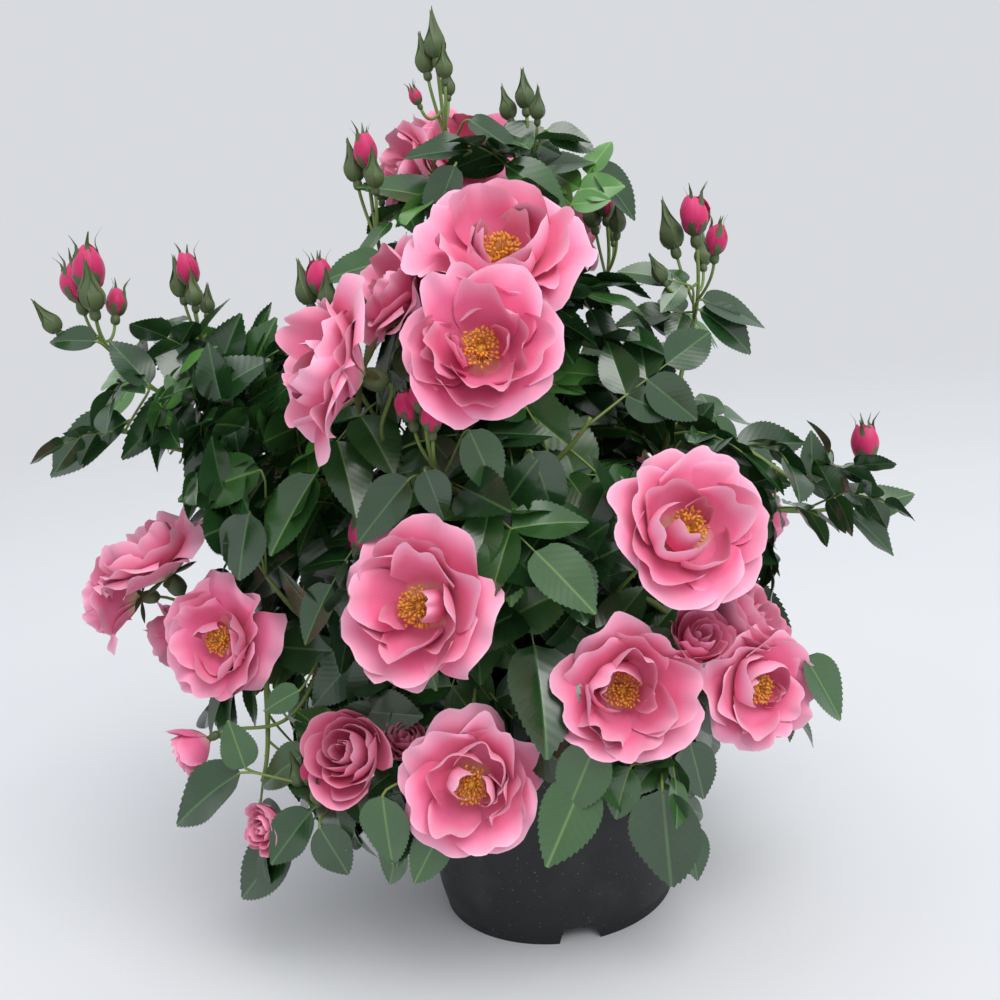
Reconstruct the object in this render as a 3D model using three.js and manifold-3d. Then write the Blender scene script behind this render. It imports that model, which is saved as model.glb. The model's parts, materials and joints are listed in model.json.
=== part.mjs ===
// A rose bush in its round nursery pot, in millimetres, with +Z up.
// The origin is the middle of the pot's flat underside, and the front of the plant faces -Y.
// Canes leave a short rootstock, each ends where it enters a mass of foliage, and each mass has shoots with
// leaves, some of which end in a truss of flowers or buds.
import * as THREE from 'three';
import { mergeVertices } from 'three/addons/utils/BufferGeometryUtils.js';
import Module from 'manifold-3d';

const wasm = await Module();
wasm.setup();

const GAP = 0.3;
const SEAM = 0.12;
const UP = new THREE.Vector3(0, 0, 1);
const RIGHT_ANGLE = Math.PI / 2;

// Driving dimensions of the pot, its compost and the rootstock.
const POT = {
  height: 178,
  footRadius: 80,
  footHeight: 7,
  ledge: 1.5,
  rimRadius: 102,
  rimBand: 12,
  rimLip: 2.5,
  wall: 2,
  sides: 32,
};
const CHANNEL = { inner: 46, outer: 70, height: 12 };
const NOTCH = { count: 3, width: 28, topWidth: 19, azimuth: -84, past: 5 };
const COMPOST = { belowRim: 22, clearance: 0.5, dimple: 17, dip: 1, level: 43, edgeDrop: 4, edgeInset: 2 };
const ROOTSTOCK = {
  radius: 20,
  neck: 15,
  buried: 10,
  height: 27,
  widest: 0.3,
  heart: 0.35,
  shoulder: 0.8,
  top: 0.4,
  sides: 12,
};

// The limbs, from the canes to the stalks of the flowers, and how strongly a limb's ends pull on its bend.
const CANE = { base: 3.1, tip: 2.7, sides: 5, steps: 3, share: 0.3, rise: 34, spread: 12 };
const SHOOT = {
  base: 2.5,
  tip: 1.6,
  sides: 3,
  steps: 4,
  stalk: 16,
  upturn: 0.25,
  outward: 2,
  overRim: 52,
  arch: 46,
};
const FORK = { first: 0.28, apart: 0.16 };
const PULL = 0.36;
const STALK = { radius: 1.5, sides: 3, steps: 2, arrive: 12, forks: 0.13 };

// A leaf: a folded, arched blade with eight faces, which stands for a spray of leaflets.
const LEAF = {
  length: 90,
  broad: 0.76,
  thick: 2.4,
  fold: 4,
  arch: 5,
  widest: 0.44,
  spacing: 14.9,
  turn: 137.5,
  lean: [0.2, 0.8],
  endLean: [1.5, 3],
  droop: [0.1, 1.1],
  skyward: [10, 60],
  atBase: 1.1,
  atTip: 0.75,
  tries: 12,
  shrink: 0.94,
  retry: 0.4,
  vary: [0.9, 1.1],
  clear: 0.5,
};
const CROWN = { x: -15, y: 0, z: 250 };
const REACH = { beyondBlooms: 22, beyondShoots: 62, lowest: 62, highest: 590, left: -300, right: 264 };

// Flowers, in shares of a bloom's radius and depth, and buds, in shares of a bud's size.
const PETALS = {
  count: 5,
  around: 10,
  lobe: 0.09,
  thick: 2.2,
  claw: 0.22,
  valley: 0.46,
  valleyDepth: 0.6,
  inner: 0.62,
  innerRise: 0.14,
  boss: 0.2,
  bossFoot: 0.7,
  bossTop: 0.35,
};
const OPENING = { flat: 0.42, shut: 1.1 };
const BUD = { sides: 4, turn: 144, sunk: 0.3, neck: 0.3, belly: 0.5, bellyAt: 0.9, length: 2.1, hung: 1.2 };
const BUDS = { lower: 0.16, smaller: 0.11 };

// Where the shoots end, as degrees round the pot's axis from +X, reach from that axis and height above the
// foot. A bloom adds its width, the way it faces in degrees round and up, and how far it is open. A shoot
// that carries neither blooms nor buds ends in a leaf.
const MASSES = {
  top: [
    { at: [180, 22, 520], buds: { count: 5, spread: 19, rise: 50, size: 13 } },
    {
      at: [135, 34, 480],
      blooms: [
        { at: [98, 54, 516], width: 76, face: [-75, 40], open: 0.8 },
        { at: [165, 58, 500], width: 66, face: [-160, 15], open: 0.7 },
      ],
    },
    { at: [25, 34, 500], buds: { count: 3, spread: 20, rise: 36, size: 12 } },
    { at: [-8, 58, 462] },
  ],
  upper_front: [
    {
      at: [-95, 72, 372],
      blooms: [
        { at: [-89, 119, 448], width: 104, face: [-90, 48], open: 0.85 },
        { at: [-95, 166, 396], width: 86, face: [-92, 22], open: 0.8 },
        { at: [-126, 112, 428], width: 68, face: [-150, 35], open: 0.75 },
      ],
    },
    { at: [-113, 126, 330], buds: { count: 3, spread: 15, rise: 36, size: 14 } },
    { at: [-58, 100, 352] },
    { at: [-92, 106, 316] },
  ],
  upper_left: [
    {
      at: [-139, 110, 350],
      blooms: [{ at: [-131, 164, 392], width: 94, face: [-150, 22], open: 0.75 }],
    },
    { at: [-164, 112, 400], buds: { count: 3, spread: 18, rise: 36, size: 15 } },
    { at: [-164, 74, 462], buds: { count: 4, spread: 19, rise: 46, size: 14 } },
    { at: [-138, 126, 304] },
  ],
  left_high: [
    { at: [179, 259, 411], buds: { count: 5, spread: 29, rise: 46, size: 20 } },
    { at: [178, 196, 404], buds: { count: 4, spread: 17, rise: 46, size: 14 } },
    { at: [-174, 260, 366] },
    { at: [158, 172, 346] },
  ],
  left_low: [
    {
      at: [-172, 206, 222],
      blooms: [
        { at: [-174, 246, 281], width: 86, face: [-160, 62], open: 0.8 },
        { at: [-178, 283, 245], width: 64, face: [178, 5], open: 0.6 },
        { at: [178, 250, 204], width: 52, face: [174, -25], open: 0.6 },
      ],
    },
    {
      at: [-160, 160, 204],
      blooms: [{ at: [-163, 210, 222], width: 82, face: [-112, 12], open: 0.9 }],
    },
    {
      at: [-162, 186, 156],
      blooms: [{ at: [-165, 240, 150], width: 34, face: [-165, -20], open: 0.3 }],
    },
    { at: [-164, 178, 270] },
    { at: [-160, 202, 113] },
  ],
  front_low: [
    {
      at: [-110, 118, 194],
      blooms: [
        { at: [-107, 158, 147], width: 88, face: [-88, 12], open: 0.85 },
        { at: [-128, 138, 166], width: 28, face: [-110, 50], open: 0.3 },
      ],
    },
    {
      at: [-138, 130, 192],
      blooms: [{ at: [-135, 172, 166], width: 56, face: [-112, 30], open: 0.45 }],
    },
    {
      at: [-146, 174, 122],
      blooms: [{ at: [-151, 206, 112], width: 32, face: [-130, 10], open: 0.5 }],
      buds: { count: 3, spread: 17, rise: 22, size: 12 },
    },
    { at: [-122, 152, 142] },
  ],
  front_middle: [
    {
      at: [-108, 116, 244],
      blooms: [{ at: [-113, 173, 258], width: 96, face: [-112, 12], open: 0.85 }],
    },
    { at: [-141, 122, 246], buds: { count: 1, spread: 12, rise: 36, size: 20 } },
    { at: [-86, 104, 230] },
  ],
  right_front: [
    {
      at: [-60, 116, 246],
      blooms: [{ at: [-57, 168, 283], width: 96, face: [-76, 26], open: 0.85 }],
    },
    {
      at: [-72, 110, 200],
      blooms: [{ at: [-73, 160, 194], width: 83, face: [-84, 14], open: 0.6 }],
    },
    {
      at: [-44, 124, 196],
      blooms: [
        { at: [-40, 172, 170], width: 78, face: [-66, 8], open: 0.9 },
        { at: [-30, 160, 208], width: 58, face: [-30, 36], open: 0.5 },
        { at: [-56, 166, 220], width: 38, face: [-70, 45], open: 0.3 },
      ],
    },
    { at: [-61, 144, 122] },
    { at: [-22, 158, 154] },
  ],
  right_high: [
    { at: [5, 133, 399], buds: { count: 5, spread: 36, rise: 50, size: 17 } },
    { at: [1, 234, 252], buds: { count: 1, spread: 12, rise: 38, size: 17 } },
    { at: [-20, 112, 350] },
    { at: [-5, 226, 258] },
  ],
  back_top: [
    {
      at: [78, 74, 404],
      blooms: [
        { at: [70, 112, 452], width: 90, face: [75, 42], open: 0.85 },
        { at: [104, 124, 414], width: 80, face: [104, 20], open: 0.75 },
      ],
    },
    { at: [30, 92, 424], buds: { count: 4, spread: 20, rise: 42, size: 14 } },
    { at: [92, 104, 352] },
  ],
  back_left: [
    {
      at: [138, 148, 300],
      blooms: [
        { at: [138, 196, 334], width: 88, face: [138, 32], open: 0.85 },
        { at: [158, 196, 290], width: 62, face: [165, 10], open: 0.6 },
      ],
    },
    { at: [128, 128, 372], buds: { count: 4, spread: 20, rise: 42, size: 15 } },
    { at: [172, 176, 246] },
  ],
  back_right: [
    {
      at: [42, 142, 292],
      blooms: [
        { at: [54, 178, 304], width: 88, face: [42, 26], open: 0.85 },
        { at: [18, 186, 246], width: 72, face: [12, 10], open: 0.7 },
      ],
    },
    {
      at: [62, 138, 214],
      blooms: [{ at: [62, 180, 206], width: 80, face: [62, 12], open: 0.8 }],
    },
    { at: [22, 142, 330] },
    { at: [34, 146, 168] },
  ],
  back_low: [
    {
      at: [108, 128, 218],
      blooms: [{ at: [106, 174, 216], width: 84, face: [106, 18], open: 0.85 }],
    },
    {
      at: [148, 152, 178],
      blooms: [{ at: [148, 194, 166], width: 64, face: [150, 5], open: 0.6 }],
    },
    { at: [84, 142, 154] },
    { at: [122, 150, 148] },
  ],
};

// Colours and finishes.
const finish = (color, roughness) => new THREE.MeshStandardMaterial({ color, roughness, metalness: 0 });
const MATERIALS = {
  pot: finish('#232427', 0.55),
  compost: finish('#3b2b20', 1),
  bark: finish('#77804c', 0.7),
  leaf: finish('#2b5733', 0.5),
  petal: finish('#f18fb3', 0.6),
  bud: finish('#6d7f43', 0.6),
};

const plant = new THREE.Group();

// Helpers for places, chance and solids.
function spot([azimuth, reach, height]) {
  const angle = THREE.MathUtils.degToRad(azimuth);
  return new THREE.Vector3(reach * Math.cos(angle), reach * Math.sin(angle), height);
}

function direction([azimuth, elevation]) {
  const rise = THREE.MathUtils.degToRad(elevation);
  return spot([azimuth, Math.cos(rise), Math.sin(rise)]);
}

function chance(seed) {
  let state = seed;
  return () => {
    state = (Math.imul(state, 1664525) + 1013904223) >>> 0;
    return state / 2 ** 32;
  };
}

function solidOf(geometry) {
  const bare = geometry.clone();
  bare.deleteAttribute('normal');
  bare.deleteAttribute('uv');
  const merged = mergeVertices(bare, 1e-4);
  const corners = [];
  const index = merged.index.array;
  for (let i = 0; i < index.length; i += 3) {
    const [a, b, c] = index.slice(i, i + 3);
    if (a !== b && b !== c && c !== a) corners.push(a, b, c);
  }
  const vertProperties = new Float32Array(merged.attributes.position.array);
  return new wasm.Manifold(new wasm.Mesh({ numProp: 3, vertProperties, triVerts: new Uint32Array(corners) }));
}

// Fuses solids that run into each other, and takes out the slivers along their seams.
function joined(solids) {
  return wasm.Manifold.union(solids).simplify(SEAM);
}

function add(name, solid, material) {
  const { vertProperties, triVerts } = solid.getMesh();
  const geometry = new THREE.BufferGeometry();
  geometry.setAttribute('position', new THREE.BufferAttribute(vertProperties, 3));
  geometry.setIndex(new THREE.BufferAttribute(triVerts, 1));
  geometry.computeVertexNormals();
  const mesh = new THREE.Mesh(geometry, material);
  mesh.name = name;
  plant.add(mesh);
}

// A solid of revolution about Z, from [radius, height] points that run from the axis at the bottom, round the
// outside, to the axis at the top.
function turned(points, sides) {
  const outline = points.map(([radius, height]) => new THREE.Vector2(radius, height));
  return new THREE.LatheGeometry(outline, sides).rotateX(RIGHT_ANGLE);
}

// A tapering limb with flat ends: a cylinder bent along a curve.
function limb(curve, startRadius, endRadius, sides, steps) {
  const geometry = new THREE.CylinderGeometry(endRadius, startRadius, steps, sides, steps);
  const frames = curve.computeFrenetFrames(steps);
  const position = geometry.attributes.position;
  const corner = new THREE.Vector3();
  for (let i = 0; i < position.count; i++) {
    corner.fromBufferAttribute(position, i);
    const step = Math.round(corner.y + steps / 2);
    const bent = curve.getPointAt(step / steps);
    bent.addScaledVector(frames.binormals[step], corner.x).addScaledVector(frames.normals[step], corner.z);
    position.setXYZ(i, bent.x, bent.y, bent.z);
  }
  return solidOf(geometry);
}

// The place at a share of a limb's length, on the straight pieces that it is made of.
function onLimb(curve, steps, share) {
  const piece = Math.min(Math.floor(share * steps), steps - 1);
  return curve.getPointAt(piece / steps).lerp(curve.getPointAt((piece + 1) / steps), share * steps - piece);
}

// A curve that leaves one place and reaches another in the given directions.
function bend(start, leaving, end, arriving) {
  const pull = start.distanceTo(end) * PULL;
  const first = start.clone().addScaledVector(leaving, pull);
  const second = end.clone().addScaledVector(arriving, -pull);
  return new THREE.CubicBezierCurve3(start, first, second, end);
}

// The pot: a tapered wall with a rim band, a ring foot, a raised channel in the floor and drainage notches.
function potSolid() {
  const { height, footRadius, footHeight, ledge, rimRadius, rimBand, rimLip, wall, sides } = POT;
  const shoulder = footRadius + ledge;
  const band = height - rimBand;
  const bandRadius = THREE.MathUtils.lerp(shoulder, rimRadius - rimLip, band / height);
  const profile = [
    [0, wall],
    [CHANNEL.inner - wall, wall],
    [CHANNEL.inner, CHANNEL.height + wall],
    [footRadius - wall, CHANNEL.height + wall],
    [rimRadius - rimLip - wall, height],
    [rimRadius, height],
    [rimRadius, band],
    [bandRadius, band],
    [shoulder, footHeight],
    [footRadius, footHeight],
    [footRadius, 0],
    [CHANNEL.outer, 0],
    [CHANNEL.outer - wall, CHANNEL.height],
    [CHANNEL.inner + wall, CHANNEL.height],
    [CHANNEL.inner, 0],
    [0, 0],
  ];
  let pot = solidOf(turned(profile.reverse(), sides));
  for (let i = 0; i < NOTCH.count; i++) {
    const angle = THREE.MathUtils.degToRad(NOTCH.azimuth) + (i * 2 * Math.PI) / NOTCH.count;
    pot = pot.subtract(notch(angle));
  }
  return pot;
}

// A drainage notch: a trapezoid cut through the foot into the channel.
function notch(angle) {
  const foot = NOTCH.width / 2;
  const top = NOTCH.topWidth / 2;
  const shape = new THREE.Shape([
    new THREE.Vector2(-foot, -1),
    new THREE.Vector2(foot, -1),
    new THREE.Vector2(top, CHANNEL.height),
    new THREE.Vector2(-top, CHANNEL.height),
  ]);
  const start = CHANNEL.outer - POT.wall;
  const depth = POT.footRadius + NOTCH.past - start;
  const cutter = new THREE.ExtrudeGeometry(shape, { depth, bevelEnabled: false });
  cutter.rotateX(RIGHT_ANGLE).translate(0, -start, 0).rotateZ(angle + RIGHT_ANGLE);
  return solidOf(cutter);
}

const compostTop = POT.height - COMPOST.belowRim;
const rootstockFoot = compostTop - ROOTSTOCK.buried;
const heart = new THREE.Vector3(0, 0, compostTop + ROOTSTOCK.height * ROOTSTOCK.heart);

function compostSolid() {
  const { clearance, dimple, dip, level, edgeDrop, edgeInset } = COMPOST;
  const floor = POT.wall + clearance;
  const slope = (POT.rimRadius - POT.rimLip - POT.footRadius) / (POT.height - CHANNEL.height - POT.wall);
  const wallAt = (height) => POT.footRadius - POT.wall + slope * (height - CHANNEL.height - POT.wall);
  const profile = [
    [0, floor],
    [CHANNEL.inner - POT.wall - clearance, floor],
    [CHANNEL.inner - clearance, CHANNEL.height + floor],
    [wallAt(CHANNEL.height + floor) - clearance, CHANNEL.height + floor],
    [wallAt(compostTop) - clearance - edgeInset, compostTop - edgeDrop],
    [level, compostTop],
    [dimple, compostTop - dip],
    [dimple, rootstockFoot - GAP],
    [0, rootstockFoot - GAP],
  ];
  return solidOf(turned(profile, POT.sides / 2));
}

// The rootstock, grown by some amount all round for the cuts that the canes need.
function rootstockSolid(grown) {
  const { radius, neck, height, widest, shoulder, top, sides } = ROOTSTOCK;
  const profile = [
    [0, rootstockFoot - grown],
    [neck + grown, rootstockFoot - grown],
    [neck + grown, compostTop],
    [radius + grown, compostTop + height * widest],
    [radius * shoulder + grown, compostTop + height * shoulder],
    [radius * top + grown, compostTop + height + grown],
    [0, compostTop + height + grown],
  ];
  return solidOf(turned(profile, sides));
}

// Flowers: a bloom is two scalloped whorls of petals round a boss of stamens, facing +Z from the middle of
// its rim, and its base is its depth below that.
function bloomDepth({ width, open }) {
  return (width / 2) * (OPENING.flat + OPENING.shut * (1 - open));
}

// Each ring is [radius, height, lobes]: 1 for the five lobes of the outer whorl, -1 for those between them.
function bloomSolid(bloom) {
  const radius = bloom.width / 2;
  const depth = bloomDepth(bloom);
  const { thick, claw, valley, valleyDepth, inner, innerRise, boss, bossFoot, bossTop } = PETALS;
  const { lobe, count, around } = PETALS;
  const rings = [
    [0, -depth, 0],
    [radius * claw, -depth, 0],
    [radius, 0, 1],
    [radius * valley, -depth * valleyDepth + thick, 0],
    [radius * inner, radius * innerRise, -1],
    [radius * boss, -depth * bossFoot + thick, 0],
    [0, -depth * bossTop, 0],
  ];
  const geometry = turned(rings, around);
  const position = geometry.attributes.position;
  for (let i = 0; i < position.count; i++) {
    const [x, y] = [position.getX(i), position.getY(i)];
    const lobes = rings[i % rings.length][2];
    const outward = 1 + (lobe * lobes * Math.cos(count * Math.atan2(y, x)) - lobe / 2) * Math.abs(lobes);
    position.setX(i, x * outward);
    position.setY(i, y * outward);
  }
  const facing = new THREE.Quaternion().setFromUnitVectors(UP, direction(bloom.face));
  return solidOf(geometry.applyQuaternion(facing).translate(...spot(bloom.at).toArray()));
}

// A bud with its hip, pointing along the given way.
function budSolid(foot, way, size) {
  const profile = [
    [0, 0],
    [size * BUD.neck, 0],
    [size * BUD.belly, size * BUD.bellyAt],
    [0, size * BUD.length],
  ];
  const geometry = turned(profile, BUD.sides);
  const facing = new THREE.Quaternion().setFromUnitVectors(UP, way);
  return solidOf(geometry.applyQuaternion(facing).translate(...foot.toArray()));
}

// The buds of a truss stand round its middle bud, each lower and smaller than the last.
function budsOf(shoot) {
  if (!shoot.buds) return [];
  const { count, spread, rise, size } = shoot.buds;
  const buds = [];
  for (let i = 0; i < count; i++) {
    const out = spread * Math.sqrt(i / Math.max(count - 1, 1));
    const offset = spot([i * BUD.turn, out, rise * (1 - BUDS.lower * i)]);
    const way = offset.clone().normalize().add(UP).normalize();
    const scale = size * (1 - BUDS.smaller * i);
    const foot = spot(shoot.at).add(offset).addScaledVector(way, -scale * BUD.hung);
    buds.push({ foot, way, size: scale });
  }
  return buds;
}

// The truss: one stalk from the shoot's tip to the first flower, and a stalk from it to each other flower.
function trussSolid(shoot) {
  const { radius, sides, steps, arrive, forks } = STALK;
  const start = shoot.tip.clone().addScaledVector(shoot.way, GAP);
  const flowers = (shoot.blooms ?? []).map((bloom) => {
    const way = direction(bloom.face);
    const base = spot(bloom.at).addScaledVector(way, PETALS.thick - bloomDepth(bloom));
    return { base, way, solid: bloomSolid(bloom) };
  });
  for (const { foot, way, size } of budsOf(shoot)) {
    const base = foot.clone().addScaledVector(way, size * BUD.sunk);
    flowers.push({ base, way, solid: budSolid(foot, way, size) });
  }
  const main = new THREE.CubicBezierCurve3(
    start,
    shoot.middle,
    flowers[0].base.clone().addScaledVector(flowers[0].way, -arrive),
    flowers[0].base,
  );
  const parts = flowers.map(({ base, way }, i) => {
    if (i === 0) return limb(main, radius, radius * 0.8, sides, steps);
    const fork = onLimb(main, steps, forks * i);
    const bendAt = base.clone().addScaledVector(way, -arrive);
    return limb(new THREE.QuadraticBezierCurve3(fork, bendAt, base), radius * 0.9, radius * 0.8, sides, 1);
  });
  return joined([...parts, ...flowers.map(({ solid }) => solid)]);
}

// Lays out a mass: where its cane ends and how its shoots run from there.
function layOut(name, shoots) {
  const goal = new THREE.Vector3();
  shoots.forEach((shoot) => goal.addScaledVector(spot(shoot.at), 1 / shoots.length));
  const toGoal = goal.clone().sub(heart);
  const steepness = toGoal.z / toGoal.length();
  const entry = heart.clone().addScaledVector(toGoal, CANE.share);
  entry.z += CANE.rise * (1 - steepness);
  const foot = heart.clone().add(new THREE.Vector3(toGoal.x, toGoal.y, 0).setLength(CANE.spread));
  const leaving = entry.clone().sub(foot).normalize();
  const entering = goal.clone().sub(entry).normalize().add(leaving).normalize();
  const start = entry.clone().addScaledVector(entering, GAP);
  const laid = shoots.map((shoot, i) => {
    const middle = spot(shoot.at);
    const from = i === 0 ? start : null;
    return { ...shoot, middle, from, leafy: !shoot.blooms && !shoot.buds };
  });
  laid.forEach((shoot, i) => {
    let leavingWay = entering;
    if (i > 0) {
      const share = FORK.first + FORK.apart * (i - 1);
      shoot.from = onLimb(laid[0].curve, SHOOT.steps, share);
      leavingWay = laid[0].curve.getTangentAt(share);
    }
    const straight = shoot.middle.clone().sub(shoot.from).normalize();
    const lift = Math.max(POT.height + SHOOT.overRim - shoot.middle.z, 0) / SHOOT.arch;
    shoot.way = straight.clone().addScaledVector(UP, SHOOT.upturn).normalize();
    shoot.tip = shoot.middle.clone().addScaledVector(shoot.way, -SHOOT.stalk);
    const fork = straight.multiplyScalar(SHOOT.outward).add(leavingWay).addScaledVector(UP, lift).normalize();
    shoot.curve = bend(shoot.from, i === 0 ? leavingWay : fork, shoot.tip, shoot.way);
  });
  return { name, foot, entry, entering, leaving, shoots: laid };
}

const masses = Object.entries(MASSES).map(([name, shoots]) => layOut(name, shoots));

// A mass keeps to its own space: the places that lie nearer to its shoots than to any other mass's.
const AXIS_SAMPLES = 14;
masses.forEach((mass) => {
  mass.axis = mass.shoots.flatMap((shoot) => shoot.curve.getSpacedPoints(AXIS_SAMPLES));
  const ofShoots = mass.shoots.map((shoot) => shoot.at[1] + REACH.beyondShoots);
  const blooms = mass.shoots.flatMap((shoot) => shoot.blooms ?? []);
  const ofBlooms = blooms.map(({ at }) => at[1] + REACH.beyondBlooms);
  mass.reach = Math.max(...ofShoots, ...ofBlooms);
});

const distanceTo = (axis, point) => Math.sqrt(Math.min(...axis.map((near) => near.distanceToSquared(point))));

function inOwnSpace(mass, point) {
  if (Math.hypot(point.x, point.y) > mass.reach) return false;
  if (point.x < REACH.left || point.x > REACH.right) return false;
  if (point.z < REACH.lowest || point.z > REACH.highest) return false;
  const own = distanceTo(mass.axis, point) + LEAF.clear;
  return masses.every((other) => other === mass || distanceTo(other.axis, point) > own);
}

// The blade's root, tip, two sides and two faces, from the eight-sided solid with a corner on each half axis.
function leafSolid(root, along, light, length) {
  const side = along.clone().cross(light).normalize();
  const top = side.clone().cross(along);
  const geometry = new THREE.OctahedronGeometry(1);
  const position = geometry.attributes.position;
  for (let i = 0; i < position.count; i++) {
    const [x, y, z] = [position.getX(i), position.getY(i), position.getZ(i)];
    const share = x === 0 ? LEAF.widest : (x + 1) / 2;
    const lift = (z * LEAF.thick) / 2 + LEAF.fold * Math.abs(y) - LEAF.arch * Math.max(x, 0);
    const corner = root.clone().addScaledVector(along, share * length);
    corner.addScaledVector(side, (-y * length * LEAF.broad) / 2).addScaledVector(top, lift);
    position.setXYZ(i, corner.x, corner.y, corner.z);
  }
  return solidOf(geometry);
}

const boxOf = (solid) => {
  const { min, max } = solid.boundingBox();
  return new THREE.Box3(new THREE.Vector3(...min), new THREE.Vector3(...max));
};

const FIRST_SEED = 401;

// Everything placed so far, which a new leaf has to stay clear of.
const placed = [];
const place = (owner, solid) => placed.push({ owner, solid, box: boxOf(solid).expandByScalar(LEAF.clear) });

function isClear(solid, owner) {
  const box = boxOf(solid);
  return placed.every((other) => {
    if (other.owner === owner || !other.box.intersectsBox(box)) return true;
    return solid.minGap(other.solid, LEAF.clear) >= LEAF.clear;
  });
}

function staysInside(mass, solid) {
  const points = solid.getMesh().vertProperties;
  for (let i = 0; i < points.length; i += 3) {
    if (!inOwnSpace(mass, new THREE.Vector3(...points.slice(i, i + 3)))) return false;
  }
  return true;
}

// Leaves stand round each shoot by turns, and one that doesn't fit is tried at other angles, then skipped.
function leavesOf(mass, seed) {
  const random = chance(seed);
  const between = ([low, high]) => THREE.MathUtils.lerp(low, high, random());
  const leaves = [];
  for (const shoot of mass.shoots) {
    const count = Math.round(shoot.curve.getLength() / LEAF.spacing);
    for (let i = 0; i < count; i++) {
      const share = (i + 0.5) / count;
      const root = onLimb(shoot.curve, SHOOT.steps, share);
      const stem = shoot.curve.getTangentAt(share);
      const across = stem.clone().cross(UP).normalize();
      const last = shoot.leafy && i === count - 1;
      const lean = last ? LEAF.endLean : LEAF.lean;
      for (let attempt = 0; attempt < LEAF.tries; attempt++) {
        const turn = THREE.MathUtils.degToRad(LEAF.turn * (i + attempt * LEAF.retry));
        const along = across.clone().applyAxisAngle(stem, turn).addScaledVector(stem, between(lean));
        along.normalize().addScaledVector(UP, -between(LEAF.droop)).normalize();
        const light = root.clone().sub(CROWN).normalize();
        light.add(direction([random() * 360, between(LEAF.skyward)]));
        const scale = THREE.MathUtils.lerp(LEAF.atBase, LEAF.atTip, share) * LEAF.shrink ** attempt;
        const leaf = leafSolid(root, along, light, LEAF.length * scale * between(LEAF.vary));
        if (!staysInside(mass, leaf) || !isClear(leaf, shoot)) continue;
        place(null, leaf);
        leaves.push(leaf);
        break;
      }
    }
  }
  return leaves;
}

// The whole plant, from the pot upwards.
const pot = potSolid();
const compost = compostSolid();
const rootstock = rootstockSolid(0);
add('pot', pot, MATERIALS.pot);
add('compost', compost, MATERIALS.compost);
add('rootstock', rootstock, MATERIALS.bark);
[pot, compost, rootstock].forEach((solid) => place(null, solid));

const rootstockSkin = rootstockSolid(GAP);
for (const { name, foot, entry, entering, leaving } of masses) {
  const curve = bend(foot, leaving, entry, entering);
  const cane = limb(curve, CANE.base, CANE.tip, CANE.sides, CANE.steps).subtract(rootstockSkin);
  add(`bough_${name}`, cane, MATERIALS.bark);
  place(null, cane);
}

for (const mass of masses) {
  mass.shoots.forEach((shoot, i) => {
    if (!shoot.leafy) {
      const truss = trussSolid(shoot);
      add(`flowers_${mass.name}_${i + 1}`, truss, shoot.blooms ? MATERIALS.petal : MATERIALS.bud);
      place(null, truss);
    }
    shoot.stem = limb(shoot.curve, SHOOT.base, SHOOT.tip, SHOOT.sides, SHOOT.steps);
    place(shoot, shoot.stem);
  });
}

masses.forEach((mass, i) => {
  const stems = mass.shoots.map((shoot) => shoot.stem);
  const foliage = joined([...stems, ...leavesOf(mass, FIRST_SEED + i)]);
  add(`foliage_${mass.name}`, foliage, MATERIALS.leaf);
});

export default plant;
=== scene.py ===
# The rose bush's looks, in metres: canes, leaves, flowers, buds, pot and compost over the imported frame.
# Places and sizes are those of the solids, in millimetres, and are turned into metres as a mesh is made.
import json
from collections import namedtuple
from types import SimpleNamespace as Sizes

import bpy
import numpy as np
from mathutils import Matrix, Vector
from numpy import array, concatenate, cos, cross, interp, linspace, outer, pi, radians, sin, sqrt, stack
from numpy.linalg import norm


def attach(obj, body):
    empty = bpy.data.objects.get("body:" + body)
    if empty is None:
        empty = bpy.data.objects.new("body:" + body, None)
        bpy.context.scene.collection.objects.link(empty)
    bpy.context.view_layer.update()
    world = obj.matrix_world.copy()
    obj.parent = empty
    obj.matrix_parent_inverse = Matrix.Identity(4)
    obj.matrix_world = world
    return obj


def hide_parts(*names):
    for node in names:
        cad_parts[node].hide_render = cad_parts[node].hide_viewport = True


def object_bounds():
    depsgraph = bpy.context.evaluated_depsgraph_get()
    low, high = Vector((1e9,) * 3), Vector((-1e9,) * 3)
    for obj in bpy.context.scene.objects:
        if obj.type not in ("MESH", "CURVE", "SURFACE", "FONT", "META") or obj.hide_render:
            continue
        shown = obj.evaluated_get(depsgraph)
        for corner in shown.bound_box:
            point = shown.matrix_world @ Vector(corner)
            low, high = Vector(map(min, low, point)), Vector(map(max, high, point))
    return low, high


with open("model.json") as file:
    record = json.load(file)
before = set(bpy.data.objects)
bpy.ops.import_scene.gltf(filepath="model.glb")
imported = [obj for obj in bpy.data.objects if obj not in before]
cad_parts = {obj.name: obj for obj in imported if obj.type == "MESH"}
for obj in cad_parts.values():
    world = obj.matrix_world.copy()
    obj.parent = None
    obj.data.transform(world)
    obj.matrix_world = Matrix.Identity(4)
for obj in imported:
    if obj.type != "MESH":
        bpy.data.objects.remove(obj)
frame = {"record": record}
cad_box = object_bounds()
nodes = [row["node"] for row in frame["record"]["subparts"]]

MM = 0.001
TURN = 2 * pi
UP = array([0.0, 0.0, 1.0])

# Driving dimensions of the pot, its compost and the rootstock, in millimetres.
POT = Sizes(
    height=178, wall=2, foot_radius=80, foot_height=7, ledge=1.5, rim_radius=102, rim_band=12, rim_lip=2.5
)
CHANNEL = Sizes(inner=46, outer=70, height=12)
NOTCH = Sizes(count=3, width=28, top_width=19, azimuth=-84)
COMPOST = Sizes(below_rim=22, inset=3.6, heaped=4, crumbs=900)
ROOTSTOCK = Sizes(radius=20, height=27, heart=0.35, buried=8)

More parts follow.
